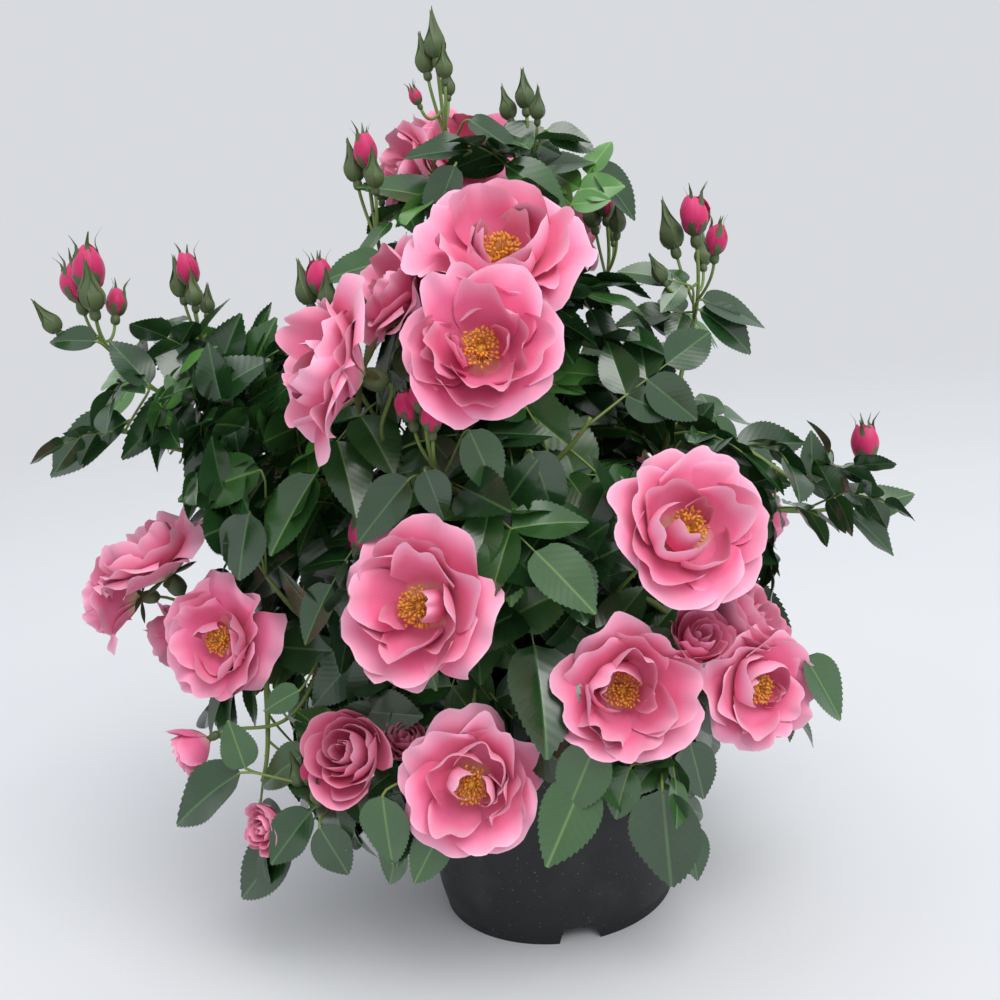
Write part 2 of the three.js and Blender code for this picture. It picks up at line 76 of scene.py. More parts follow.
# The limbs, from the canes to the stalks of the flowers.
CANE = Sizes(base=3.3, tip=2.6, share=0.3, rise=34, spread=12)
SHOOT = Sizes(base=2.4, tip=1.3, stalk=16, upturn=0.25, outward=2, over_rim=52, arch=46)
FORK = Sizes(first=0.28, apart=0.16)
STALK = Sizes(radius=1.15, arrive=12, forks=0.13)
PRICKLE = Sizes(length=(2.2, 4.2), on_cane=9, on_shoot=15)
PULL = 0.36

BUDS = Sizes(turn=144, hung=1.2, lower=0.16, smaller=0.11)
OPENING = Sizes(flat=0.42, shut=1.1, opened=0.56, warm=0.4)
HIP = Sizes(share=0.1, least=1.4, below=1.5, radius=0.62, length=1.75, stalk=1.4)

# A compound leaf of five or seven leaflets.
LEAF = Sizes(
    length=136, turn=137.5, lean=(0.2, 0.8), skyward=0.6, stray=0.5,
    at_base=1.05, at_tip=0.74, tries=9, shrink=0.95, retry=0.4,
)
MIDDLE = array([-15.0, 0.0, 250.0])
REACH = Sizes(beyond_blooms=26, beyond_shoots=74, lowest=62, margin=8, round_pot=3)

# The high shoots bear smaller leaves, which hang less.
HABIT = {
    "left_high": Sizes(size=0.76, spacing=13, droop=(-0.5, 0.35)),
    "right_high": Sizes(size=0.66, spacing=19, droop=(-0.3, 0.35)),
    "top": Sizes(size=0.8, spacing=15, droop=(-0.2, 0.6)),
}
USUAL_HABIT = Sizes(size=1, spacing=18, droop=(0.1, 0.9))


# Places, directions and chance.
def spot(azimuth, reach, height):
    angle = radians(azimuth)
    return array([reach * cos(angle), reach * sin(angle), height])


def direction(azimuth, elevation):
    rise = radians(elevation)
    return spot(azimuth, cos(rise), sin(rise))


def unit(vector):
    return vector / norm(vector)


def mix(low, high, share):
    return low + (high - low) * share


def shares(count):
    return linspace(0, 1, count)[:, None]


def whole_turn(count):
    return linspace(0, TURN, count, endpoint=False)


class Chance:
    """The seeded run of numbers between 0 and 1 that the solids' growth uses."""

    def __init__(self, seed):
        self.state = seed

    def __call__(self):
        self.state = (self.state * 1664525 + 1013904223) % 2**32
        return self.state / 2**32

    def span(self, low, high):
        return mix(low, high, self())


# Balls of open air where no leaf grows, each as degrees round, reach, height and radius.
OPEN_AIR = [
    (0, 169, 340, 42), (18, 193, 333, 42), (-5, 211, 197, 40), (12, 237, 175, 42), (0, 255, 186, 40),
    (-152, 189, 172, 24), (-167, 183, 153, 24), (-43, 163, 117, 30), (-25, 143, 93, 30), (-128, 178, 70, 20),
    (-99, 124, 67, 38), (-108, 126, 53, 32), (-92, 120, 52, 32), (-73, 120, 64, 26), (15, 79, 461, 18),
    (9, 65, 444, 16), (-176, 291, 301, 34), (-174, 101, 464, 18), (-141, 158, 282, 24), (-137, 178, 280, 20),
    (-116, 158, 62, 26), (-131, 213, 80, 24),
]

# Single leaflets and sprays that make the plant's outline, each as the places of its start and of its tip.
OUTER = Sizes(joint=0.24, end=0.78, pair_joint=0.1, pair=0.56, stalk=0.8, lone=1.04)
OUTER_LEAVES = {
    "top": [
        (-155, 36, 489, -169, 75, 526), (-139, 38, 474, -161, 79, 493), (-109, 21, 520, -40, 31, 498),
        (12, 25, 489, 4, 69, 492), (0, 41, 511, 0, 70, 497), (8, 70, 488, 6, 96, 454),
        (-109, 53, 492, -126, 62, 458), (-58, 24, 491, -21, 55, 464), (-104, 31, 501, -147, 55, 505),
        (38, 16, 515, 11, 51, 499),
    ],
    "upper_left": [(-143, 82, 441, -154, 115, 437)],
    "upper_front": [
        (-111, 144, 328, -108, 142, 300), (-115, 143, 323, -126, 160, 292), (-95, 80, 273, -68, 86, 217),
        (-102, 123, 345, -96, 121, 308), (-86, 110, 328, -80, 112, 286),
    ],
    "left_high": [
        (-174, 242, 361, -175, 298, 337), (-170, 198, 375, -172, 249, 343), (-179, 222, 336, -179, 258, 304),
        (-175, 253, 412, -176, 283, 418), (-172, 224, 382, -173, 242, 412), (-174, 197, 375, -175, 212, 422),
        (180, 189, 376, 180, 168, 418), (180, 175, 364, 180, 146, 413), (-175, 178, 358, -174, 136, 380),
        (-169, 191, 370, -167, 153, 393), (-166, 181, 368, -166, 185, 403), (-167, 174, 371, -167, 178, 336),
        (-170, 182, 352, -172, 213, 315), (-169, 213, 372, -168, 200, 346),
    ],
    "left_low": [
        (-155, 179, 304, -157, 192, 263), (-159, 166, 326, -164, 216, 316), (-145, 175, 198, -149, 195, 189),
    ],
    "front_low": [
        (-153, 210, 148, -158, 254, 124), (-153, 207, 150, -153, 212, 180), (-153, 186, 93, -157, 223, 63),
        (-138, 187, 122, -135, 177, 88), (-125, 170, 144, -125, 172, 101), (-114, 158, 124, -121, 168, 90),
    ],
    "right_front": [
        (-31, 186, 183, -28, 204, 141), (-80, 152, 167, -88, 150, 125), (-58, 153, 152, -56, 157, 116),
        (-68, 162, 135, -68, 162, 74), (-73, 152, 148, -78, 148, 116),
    ],
    "right_high": [
        (4, 149, 295, 3, 195, 298), (0, 135, 283, 0, 181, 270), (-32, 94, 376, -27, 110, 333),
        (-3, 193, 271, -3, 196, 303), (-3, 224, 247, -2, 260, 259), (-5, 215, 249, -5, 244, 220),
        (0, 129, 390, 0, 164, 363), (2, 132, 396, 2, 174, 379),
    ],
}
OUTER_SPRAYS = {
    "left_high": [(-177, 166, 343, -177, 212, 318)],
    "right_high": [(0, 124, 406, 0, 81, 423), (9, 128, 388, 15, 79, 389), (11, 109, 295, 8, 138, 326)],
}

# Where the shoots end, as degrees round the pot's axis from +X, reach from that axis and height above the
# foot. A bloom adds its width, the way it faces in degrees round and up, and how far it is open.
buds = namedtuple("buds", "count spread rise size")


def bloom(azimuth, reach, height, width, facing, up, opening):
    """A flower, which is deeper the less it is open."""
    radius = width / 2
    depth = radius * (OPENING.flat + OPENING.shut * (1 - opening))
    place = dict(at=spot(azimuth, reach, height), reach=reach, way=direction(facing, up))
    return Sizes(radius=radius, depth=depth, hip=width * HIP.share + HIP.least, opening=opening, **place)


def shoot(azimuth, reach, height, *blooms, buds=None):
    return Sizes(at=spot(azimuth, reach, height), reach=reach, blooms=blooms, buds=buds)


MASSES = {
    "top": [
        shoot(180, 22, 520, buds=buds(5, 19, 50, 13)),
        shoot(135, 34, 480, bloom(98, 54, 516, 76, -75, 40, 0.8), bloom(165, 58, 500, 66, -160, 15, 0.7)),
        shoot(25, 34, 500, buds=buds(3, 20, 36, 12)),
        shoot(-8, 58, 462),
    ],
    "upper_front": [
        shoot(-95, 72, 372, bloom(-89, 119, 448, 104, -90, 48, 0.85), bloom(-95, 166, 396, 86, -92, 22, 0.8),
            bloom(-126, 112, 428, 68, -150, 35, 0.75)),
        shoot(-113, 126, 330, buds=buds(3, 15, 36, 14)),
        shoot(-58, 100, 352),
        shoot(-92, 106, 316),
    ],
    "upper_left": [
        shoot(-139, 110, 350, bloom(-131, 164, 392, 94, -150, 22, 0.75)),
        shoot(-164, 112, 400, buds=buds(3, 18, 36, 15)),
        shoot(-164, 74, 462, buds=buds(4, 19, 46, 14)),
        shoot(-138, 126, 304),
    ],
    "left_high": [
        shoot(179, 259, 411, buds=buds(5, 29, 46, 20)),
        shoot(178, 196, 404, buds=buds(4, 17, 46, 14)),
        shoot(-174, 260, 366),
        shoot(158, 172, 346),
    ],
    "left_low": [
        shoot(-172, 206, 222, bloom(-174, 246, 281, 86, -160, 62, 0.8),
            bloom(-178, 283, 245, 64, 178, 5, 0.6), bloom(178, 250, 204, 52, 174, -25, 0.6)),
        shoot(-160, 160, 204, bloom(-163, 210, 222, 82, -112, 12, 0.9)),
        shoot(-162, 186, 156, bloom(-165, 240, 150, 34, -165, -20, 0.3)),
        shoot(-164, 178, 270),
        shoot(-160, 202, 113),
    ],
    "front_low": [
        shoot(-110, 118, 194, bloom(-107, 158, 147, 88, -88, 12, 0.85),
            bloom(-128, 138, 166, 28, -110, 50, 0.3)),
        shoot(-138, 130, 192, bloom(-135, 172, 166, 56, -112, 30, 0.45)),
        shoot(-146, 174, 122, bloom(-151, 206, 112, 32, -130, 10, 0.5), buds=buds(3, 17, 22, 12)),
        shoot(-122, 152, 142),
    ],
    "front_middle": [
        shoot(-108, 116, 244, bloom(-113, 173, 258, 96, -112, 12, 0.85)),
        shoot(-141, 122, 246, buds=buds(1, 12, 36, 20)),
        shoot(-86, 104, 230),
    ],
    "right_front": [
        shoot(-60, 116, 246, bloom(-57, 168, 283, 96, -76, 26, 0.85)),
        shoot(-72, 110, 200, bloom(-73, 160, 194, 83, -84, 14, 0.6)),
        shoot(-44, 124, 196, bloom(-40, 172, 170, 78, -66, 8, 0.9), bloom(-30, 160, 208, 58, -30, 36, 0.5),
            bloom(-56, 166, 220, 38, -70, 45, 0.3)),
        shoot(-61, 144, 122),
        shoot(-22, 158, 154),
    ],
    "right_high": [
        shoot(5, 133, 399, buds=buds(5, 36, 50, 17)),
        shoot(1, 234, 252, buds=buds(1, 12, 38, 17)),
        shoot(-20, 112, 350),
        shoot(-5, 226, 258),
    ],
    "back_top": [
        shoot(78, 74, 404, bloom(70, 112, 452, 90, 75, 42, 0.85), bloom(104, 124, 414, 80, 104, 20, 0.75)),
        shoot(30, 92, 424, buds=buds(4, 20, 42, 14)),
        shoot(92, 104, 352),
    ],
    "back_left": [
        shoot(138, 148, 300, bloom(138, 196, 334, 88, 138, 32, 0.85), bloom(158, 196, 290, 62, 165, 10, 0.6)),
        shoot(128, 128, 372, buds=buds(4, 20, 42, 15)),
        shoot(172, 176, 246),
    ],
    "back_right": [
        shoot(42, 142, 292, bloom(54, 178, 304, 88, 42, 26, 0.85), bloom(18, 186, 246, 72, 12, 10, 0.7)),
        shoot(62, 138, 214, bloom(62, 180, 206, 80, 62, 12, 0.8)),
        shoot(22, 142, 330),
        shoot(34, 146, 168),
    ],
    "back_low": [
        shoot(108, 128, 218, bloom(106, 174, 216, 84, 106, 18, 0.85)),
        shoot(148, 152, 178, bloom(148, 194, 166, 64, 150, 5, 0.6)),
        shoot(84, 142, 154),
        shoot(122, 150, 148),
    ],
}


# Curves: each is a run of evenly spaced points.
class Curve:
    def __init__(self, points):
        lengths = norm(np.diff(points, axis=0), axis=1)
        run = concatenate([[0], np.cumsum(lengths)])
        self.length = run[-1]
        even = linspace(0, self.length, len(points))
        self.points = stack([interp(even, run, points[:, k]) for k in range(3)], axis=1)

    def at(self, share):
        place = share * (len(self.points) - 1)
        low = min(int(place), len(self.points) - 2)
        return mix(self.points[low], self.points[low + 1], place - low)

    def tangent(self, share):
        low = min(int(share * (len(self.points) - 1)), len(self.points) - 2)
        return unit(self.points[low + 1] - self.points[low])


def bezier(a, b, c, d, count=40):
    t = shares(count)
    return Curve((1 - t) ** 3 * a + 3 * t * (1 - t) ** 2 * b + 3 * t**2 * (1 - t) * c + t**3 * d)


def bend(start, leaving, end, arriving):
    pull = norm(end - start) * PULL
    return bezier(start, start + leaving * pull, end - arriving * pull, end)


# Where everything grows: the canes, the shoots and the flowers.
compost_top = POT.height - COMPOST.below_rim
heart = array([0, 0, compost_top + ROOTSTOCK.height * ROOTSTOCK.heart])


def buds_of(each):
    made = []
    rule = each.buds
    for i in range(rule.count if rule else 0):
        out = rule.spread * sqrt(i / max(rule.count - 1, 1))
        offset = spot(i * BUDS.turn, out, rule.rise * (1 - BUDS.lower * i))
        way = unit(unit(offset) + UP)
        size = rule.size * (1 - BUDS.smaller * i)
        made.append(Sizes(foot=each.at + offset - way * size * BUDS.hung, way=way, size=size, place=i))
    return made


def lay_out(name, shoots):
    goal = np.mean([each.at for each in shoots], axis=0)
    to_goal = goal - heart
    steepness = to_goal[2] / norm(to_goal)
    entry = heart + to_goal * CANE.share + UP * CANE.rise * (1 - steepness)
    foot = heart + unit(to_goal * [1, 1, 0]) * CANE.spread
    leaving = unit(entry - foot)
    entering = unit(unit(goal - entry) + leaving)
    for i, each in enumerate(shoots):
        start, start_way = entry, entering
        if i > 0:
            share = FORK.first + FORK.apart * (i - 1)
            start, start_way = shoots[0].curve.at(share), shoots[0].curve.tangent(share)
        straight = unit(each.at - start)
        lift = max(POT.height + SHOOT.over_rim - each.at[2], 0) / SHOOT.arch
        way = unit(straight + UP * SHOOT.upturn)
        fork = start_way if i == 0 else unit(straight * SHOOT.outward + start_way + UP * lift)
        each.curve = bend(start, fork, each.at - way * SHOOT.stalk, way)
    reaches = [each.reach + REACH.beyond_shoots for each in shoots]
    reaches += [flower.reach + REACH.beyond_blooms for each in shoots for flower in each.blooms]
    return Sizes(name=name, cane=bend(foot, leaving, entry, entering), shoots=shoots, reach=max(reaches))


masses = [lay_out(name, shoots) for name, shoots in MASSES.items()]
all_blooms = [flower for mass in masses for each in mass.shoots for flower in each.blooms]


def add_object(name, data):
    made = bpy.data.objects.new(name, data)
    bpy.context.collection.objects.link(made)
    return made


# Heaps gather the vertices, faces and tints of one kind of thing, and become pieces at the end.
class Heap:
    def __init__(self):
        self.points = []
        self.faces = []
        self.uvs = []
        self.tints = []
        self.count = 0

    def add(self, points, faces, uvs=None, tint=0.5):
        points = np.asarray(points, dtype=float).reshape(-1, 3)
        self.points.append(points)
        self.faces += [face + self.count for face in faces]
        self.uvs.append(np.zeros((len(points), 2)) if uvs is None else np.asarray(uvs).reshape(-1, 2))
        self.tints.append(np.broadcast_to(np.asarray(tint, dtype=float).reshape(-1), len(points)))
        self.count += len(points)

    def add_grid(self, points, closed=False, uvs=None, tint=0.5):
        """A sheet of points in rows, each of which meets its own start if the sheet is closed."""
        rows, columns = points.shape[:2]
        i, j = np.meshgrid(np.arange(rows - 1), np.arange(columns if closed else columns - 1), indexing="ij")
        a = i * columns + j
        b = i * columns + (j + 1) % columns
        self.add(points, [stack([a, b, b + columns, a + columns], axis=-1).reshape(-1, 4)], uvs, tint)

    def piece(self, name, material, slot, replaced=()):
        points = concatenate(self.points) * MM
        mesh = bpy.data.meshes.new(name)
        corner = concatenate([face.ravel() for face in self.faces])
        sizes = concatenate([np.full(len(face), face.shape[1]) for face in self.faces])
        mesh.vertices.add(len(points))
        mesh.vertices.foreach_set("co", points.ravel())
        mesh.loops.add(len(corner))
        mesh.loops.foreach_set("vertex_index", corner)
        mesh.polygons.add(len(sizes))
        mesh.polygons.foreach_set("loop_start", concatenate([[0], np.cumsum(sizes)[:-1]]))
        mesh.update(calc_edges=True)
        mesh.validate()
        mesh.shade_smooth()
        uv = concatenate(self.uvs)[corner]
        mesh.uv_layers.new(name="UVMap").data.foreach_set("uv", uv.ravel())
        tint = mesh.attributes.new("tint", "FLOAT", "POINT")
        tint.data.foreach_set("value", concatenate(self.tints))
        mesh.materials.append(material)
        made = add_object(name, mesh)
        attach(made, "root")
        if replaced:
            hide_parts(*replaced)
        return made


def frames_along(points):
    ways = np.gradient(points, axis=0)
    ways /= norm(ways, axis=1, keepdims=True)
    side = cross(ways[0], UP if abs(ways[0][2]) < 0.9 else array([1.0, 0, 0]))
    sides = []
    for way in ways:
        side = unit(side - way * (side @ way))
        sides.append(side)
    sides = array(sides)
    return sides, cross(ways, sides)


def tube(heap, points, radii, sides=8, relief=1, tint=0.5):
    """A round limb along the points, closed at both ends by drawing it to a point."""
    across, over = frames_along(points)
    turn = whole_turn(sides)
    radii = np.broadcast_to(radii, len(points))[:, None].repeat(sides, axis=1) * relief
    ring = (
        points[:, None]
        + across[:, None] * (cos(turn)[None, :, None] * radii[..., None])
        + over[:, None] * (sin(turn)[None, :, None] * radii[..., None])
    )
    ends = [points[k, None, None].repeat(sides, axis=1) for k in (0, -1)]
    ring = concatenate([ends[0], ring, ends[1]])
    uvs = stack(np.meshgrid(linspace(0, 1, len(ring)), linspace(0, 1, sides), indexing="ij"), axis=-1)
    heap.add_grid(ring, True, uvs, tint)


# Leaflets: a toothed blade in its own outline, folded along its midrib and arched.
BLADE = Sizes(stations=17, base=0.55, tip=0.92, half=(0.28, 0.34), fold=(0.12, 0.34), arch=(0.05, 0.22))


def leaflet_outline():
    """The blade's (along, across) places, its four-sided faces and its teeth, for both halves."""
    points, quads, teeth = [], [], []
    along = linspace(0, 1, BLADE.stations)
    width = (along**BLADE.base) * ((1 - along) ** BLADE.tip)
    width = width / width.max()
    for side in (1, -1):
        base = len(points)
        for k, u in enumerate(along):
            points += [(u, 0), (u + 0.03 * width[k], side * 0.55 * width[k]), (u, side * width[k])]
        for k in range(BLADE.stations - 1):
            reach = mix(width[k], width[k + 1], 0.66) * 1.05 + 0.01
            points.append((mix(along[k], along[k + 1], 1.02), side * reach))
            a = base + 3 * k
            quads += [(a, a + 1, a + 4, a + 3)[::side], (a + 1, a + 2, a + 5, a + 4)[::side]]
            teeth.append((a + 2, base + 3 * BLADE.stations + k, a + 5)[::side])
    return array(points), array(quads), array(teeth)


OUTLINE, QUADS, TEETH = leaflet_outline()


def leaflet(heap, root, along, normal, length, rng, tint):
    along = unit(along)
    side = unit(cross(along, normal))
    over = cross(side, along)
    u, v = OUTLINE[:, 0], OUTLINE[:, 1]
    half = length * rng.span(*BLADE.half)
    fold = rng.span(*BLADE.fold)
    arch = rng.span(*BLADE.arch) * length
    ripple = rng.span(0.0, 0.03) * length
    phase = rng() * 6.28
    twist = rng.span(-0.25, 0.25)
    lift = half * fold * np.abs(v) + half * twist * v * u - arch * u**2
    lift += ripple * sin(9 * u + phase + 2 * np.sign(v)) * np.abs(v)
    points = root + outer(u * length, along) + outer(v * half, side) + outer(lift, over)
    heap.add(points, [QUADS, TEETH], stack([v * 0.5 + 0.5, u], axis=1), tint)


# Leaves stand round each shoot by turns, and one that doesn't fit is tried at other angles, then skipped.
def in_a_bloom(points):
    for flower in all_blooms:
        offset = points - flower.at
        height = offset @ flower.way
        away = norm(offset - outer(height, flower.way), axis=1)
        inside = (height > -flower.depth) & (height < flower.radius * 1.3)
        limit = flower.radius * np.clip(0.5 + 0.5 * (height + flower.depth) / flower.depth, 0.5, 0.94)
        if np.any(inside & (away < limit)):
            return True
    return False


def in_pot(points):
    low = points[:, 2] < POT.height + REACH.round_pot
    return np.any(low & (np.hypot(points[:, 0], points[:, 1]) < POT.rim_radius + REACH.round_pot))


def in_open_air(points):
    return any(np.any(norm(points - spot(*ball[:3]), axis=1) < ball[3]) for ball in OPEN_AIR)


def in_own_space(mass, points):
    low = array(cad_box[0]) / MM - REACH.margin
    high = array(cad_box[1]) / MM + REACH.margin
    if np.any(points < low) or np.any(points > high) or np.any(points[:, 2] < REACH.lowest):
        return False
    return np.all(np.hypot(points[:, 0], points[:, 1]) < mass.reach)


def leaf_plan(root, along, light, length, rng):
    """The rachis and the leaflets of a compound leaf, each leaflet as root, way, normal and length."""
    along = unit(along)
    side = unit(cross(along, light))
    over = cross(side, along)
    sag = rng.span(0.1, 0.34) * length
    t = shares(9)
    rachis = root + along * length * 0.62 * t - over * sag * t**2 + over * sag * 0.4 * t
    pairs = (0.46, 0.76) if length < 128 or rng() < 0.5 else (0.36, 0.58, 0.8)
    end = unit(rachis[-1] - rachis[-2])
    plan = [(rachis[-1], end, unit(over + end * 0.2), length * rng.span(0.4, 0.46))]
    for k, share in enumerate(pairs):
        joint = rachis[int(round(share * 8))]
        size = length * mix(0.3, 0.4, (k + 1) / len(pairs))
        for hand in (1, -1):
            spread = radians(rng.span(52, 74))
            way = end * cos(spread) + side * hand * sin(spread) - over * rng.span(0, 0.25)
            normal = unit(over + side * hand * rng.span(-0.15, 0.35) + along * rng.span(-0.2, 0.2))
            plan.append((joint, way, normal, size * rng.span(0.9, 1.08)))
    return rachis, plan


def fits(mass, rachis, plan):
    """Whether the ends of a leaf's rachis and leaflets, and the leaflets' middles, are in free space."""
    ends = [root + unit(way) * size * share for root, way, normal, size in plan for share in (0.4, 0.7, 1)]
    tips = array([rachis[-1]] + ends)
    return in_own_space(mass, tips) and not (in_pot(tips) or in_a_bloom(tips) or in_open_air(tips))


LEAF_COLORS = {
    "leaf_dark": ("132E17", "214520", "4A703E"),
    "leaf_mid": ("22451F", "335C2A", "648646"),
    "leaf_young": ("3F7434", "5C9444", "86AE5C"),
}
leaf_heaps = {kind: Heap() for kind in LEAF_COLORS}
shoot_heap = Heap()


def grow_leaf(mass, habit, curve, share, place, lean, rng):
    root, stem = curve.at(share), curve.tangent(share)
    across = unit(cross(stem, UP))
    for attempt in range(LEAF.tries):
        turn = radians(LEAF.turn * (place + attempt * LEAF.retry))
        around = across * cos(turn) + cross(stem, across) * sin(turn)
        leaning = rng.span(*lean)
        along = unit(unit(around + stem * leaning) - UP * rng.span(*habit.droop))
        light = unit((root - MIDDLE) * [1, 1, 0.4]) + UP * LEAF.skyward
        light = light + direction(rng() * 360, 0) * LEAF.stray
        scale = mix(LEAF.at_base, LEAF.at_tip, share) * LEAF.shrink**attempt
        length = LEAF.length * habit.size * scale * rng.span(0.9, 1.1)
        rachis, plan = leaf_plan(root, along, light, length, rng)
        if not fits(mass, rachis, plan):
            continue
        kind = "leaf_dark" if rng() < 0.55 else "leaf_mid"
        if share > 0.8 and root[2] > 330 and rng() < 0.5:
            kind = "leaf_young"
        tint = rng()
        for joint, way, normal, size in plan:
            leaflet(leaf_heaps[kind], joint, way, normal, size, rng, tint)
        tube(shoot_heap, rachis, linspace(1.0, 0.45, len(rachis)), 5, tint=0.7)
        return


def grow_leaves(mass, rng):
    habit = HABIT.get(mass.name, USUAL_HABIT)
    for each in mass.shoots:
        count = max(round(each.curve.length / habit.spacing), 1)
        for i in range(count):
            last = i == count - 1 and not each.blooms and not each.buds
            grow_leaf(mass, habit, each.curve, (i + 0.5) / count, i, (1.5, 3) if last else LEAF.lean, rng)


def set_leaf(mass, start, end, lone, rng):
    """A leaf of the plant's outline, which faces the front and the sky, on a stalk from the nearest shoot."""
    root, tip = spot(*start), spot(*end)
    stems = concatenate([each.curve.points for each in mass.shoots])
    near = stems[np.argmin(norm(stems - root, axis=1))]
    length = norm(tip - root)
    along = (tip - root) / length
    side = unit(cross(along, UP + direction(-90, 0) + direction(rng() * 360, 0) * 0.3))
    over = cross(side, along)
    kind = "leaf_dark" if rng() < 0.7 else "leaf_mid"
    if lone:
        rachis = mix(root, root + along * length * 0.05, shares(3))
        plan = [(root, along, over, length * OUTER.lone)]
    else:
        joint, pair_joint = root + along * length * OUTER.joint, root + along * length * OUTER.pair_joint
        rachis = mix(root, joint, shares(4))
        plan = [(joint, along, unit(over + along * 0.15), length * OUTER.end)]
        for hand in (1, -1):
            way = along * 0.4 + side * hand * 0.9 - over * rng.span(0, 0.3)
            plan.append((pair_joint, way, unit(over + side * hand * 0.2), length * OUTER.pair))
    for joint, way, normal, size in plan:
        if not in_a_bloom((joint + unit(way) * size)[None]):
            leaflet(leaf_heaps[kind], joint, way, normal, size, rng, 0.5)
    stalk = bezier(near, mix(near, root, 0.6), root - along * length * 0.1, root, 10).points
    tube(shoot_heap, concatenate([stalk, rachis[1:]]), OUTER.stalk, 6, tint=0.7)


# Petals: each is a fan-shaped sheet that rises from the claw at the flower's base, bellies out and rolls at
# its rim. Shares are of a bloom's radius, except the belly's height, which is a share of its depth.
PETAL = Sizes(
    rows=15, columns=17, claw=0.2, widest=0.74, rounded=0.15, corner=0.2, scallop=0.014, cupped=(0.0, 0.26),
    tilt=(-0.2, 0.3),
)
Whorl = namedtuple("Whorl", "count rim rise belly half wrap curl ruffle turn")
OPEN_WHORLS = [
    Whorl(5, 1.0, (-0.24, 0.02), (0.56, 0.5), 0.6, 0.22, (-0.05, 0.4), (0.1, 0.3), 0.0),
    Whorl(5, 0.86, (-0.06, 0.16), (0.54, 0.42), 0.52, 0.3, (-0.15, 0.35), (0.12, 0.32), 0.63),
    Whorl(4, 0.62, (0.06, 0.34), (0.52, 0.32), 0.4, 0.45, (-0.5, 0.3), (0.15, 0.35), 0.2),
    Whorl(2, 0.34, (0.05, 0.28), (0.4, 0.3), 0.2, 0.4, (-0.7, 0.2), (0.15, 0.35), 0.5),
]
CUPPED_WHORLS = [
    Whorl(5, 0.98, (-0.1, 0.1), (0.92, 0.34), 0.76, 0.8, (0.0, 0.16), (0.03, 0.06), 0.0),
    Whorl(5, 0.72, (0.02, 0.2), (0.8, 0.38), 0.64, 0.9, (0.0, 0.12), (0.02, 0.05), 0.5),
    Whorl(4, 0.46, (0.06, 0.24), (0.62, 0.4), 0.5, 0.95, (-0.05, 0.12), (0.02, 0.05), 0.2),
    Whorl(3, 0.2, (0.06, 0.22), (0.36, 0.4), 0.34, 1.0, (0.0, 0.1), (0.02, 0.04), 0.7),
]


def arc(t, a, b, c):
    return (1 - t) ** 2 * a + 2 * t * (1 - t) * b + t**2 * c


def arc_slope(t, a, b, c):
    return 2 * (1 - t) * (b - a) + 2 * t * (c - b)


def petal(heap, base, axes, phi, profile, half, rule, rng):
    """Profile is the petal's middle line, as three (radius, height) control points above its base."""
    ex, ey, ez = axes
    s = shares(PETAL.rows)
    t = linspace(-1, 1, PETAL.columns)[None, :]
    notch = rng.span(0.0, 0.1) * np.exp(-((t / 0.2) ** 2))
    phase = rng() * TURN
    shorter = PETAL.rounded * t**2 + PETAL.corner * t**6 + notch
    shorter = shorter + PETAL.scallop * (sin(t * 9 + phase) + 0.7 * sin(t * 14 + 2 * phase))
    run = s * (1 - s**2 * shorter)
    radii, heights = zip(*profile)
    slope_r, slope_z = arc_slope(run, *radii), arc_slope(run, *heights)
    steep = np.maximum(np.hypot(slope_r, slope_z), 1e-6)
    grown = sin(pi / 2 * np.minimum(s / PETAL.widest, 1))
    width = half * (PETAL.claw + (1 - PETAL.claw) * grown)
    ruffle = rng.span(*rule.ruffle)
    lift = ruffle * s**2.2 * sin(t * 2.8 + phase) * (0.35 + np.abs(t))
    lift += ruffle * 0.45 * s**4 * sin(t * 6.5 + phase * 2)
    lift += rng.span(*PETAL.tilt) * t * s + rng.span(*PETAL.cupped) * t**2 * s
    lift -= rng.span(*rule.curl) * (s**6 + 0.2 * t**4 * s**2)
    radius = arc(run, *radii) - slope_z / steep * lift * half
    height = arc(run, *heights) + slope_r / steep * lift * half
    off = t * width
    angle = phi + rule.wrap * off / np.maximum(radius, half * 0.6)
    flat = (1 - rule.wrap) * off
    x = radius * cos(angle) - flat * sin(angle)
    y = radius * sin(angle) + flat * cos(angle)
    points = base + x[..., None] * ex + y[..., None] * ey + height[..., None] * ez
    uvs = stack(np.broadcast_arrays(t * 0.5 + 0.5, s), axis=-1)
    heap.add_grid(points, False, uvs, rng())


def axes_of(way):
    ex = unit(cross(way, UP if abs(way[2]) < 0.95 else array([1.0, 0, 0])))
    return ex, cross(way, ex), way


def round_axes(axes, angle):
    return axes[0] * cos(angle) + axes[1] * sin(angle)


# Each kind is its rim, body, fold and throat colours. The lighter rim colour is painted light: a painted
# highlight for the light that the rolled petal edges catch.
PETAL_COLORS = {
    "petal_light": ("FFC2DA", "F986AE", "EE6496", "FBE6BC"),
    "petal_mid": ("FEB8D2", "F47CA8", "E85A8E", "F8D8B4"),
    "petal_warm": ("FCAACA", "F278A4", "E85A90", "F6B6BC"),
    "petal_deep": ("E24A80", "D22E6C", "B81F58", "D22E6C"),
}
petal_heaps = {kind: Heap() for kind in PETAL_COLORS}
filaments = Heap()
anthers = Heap()
greens = Heap()
STAMENS = Sizes(count=64, reach=0.25, foot=0.07, height=0.27, lower=0.1, filament=0.007, anther=0.03)
GOLDEN_ANGLE = 2.39996


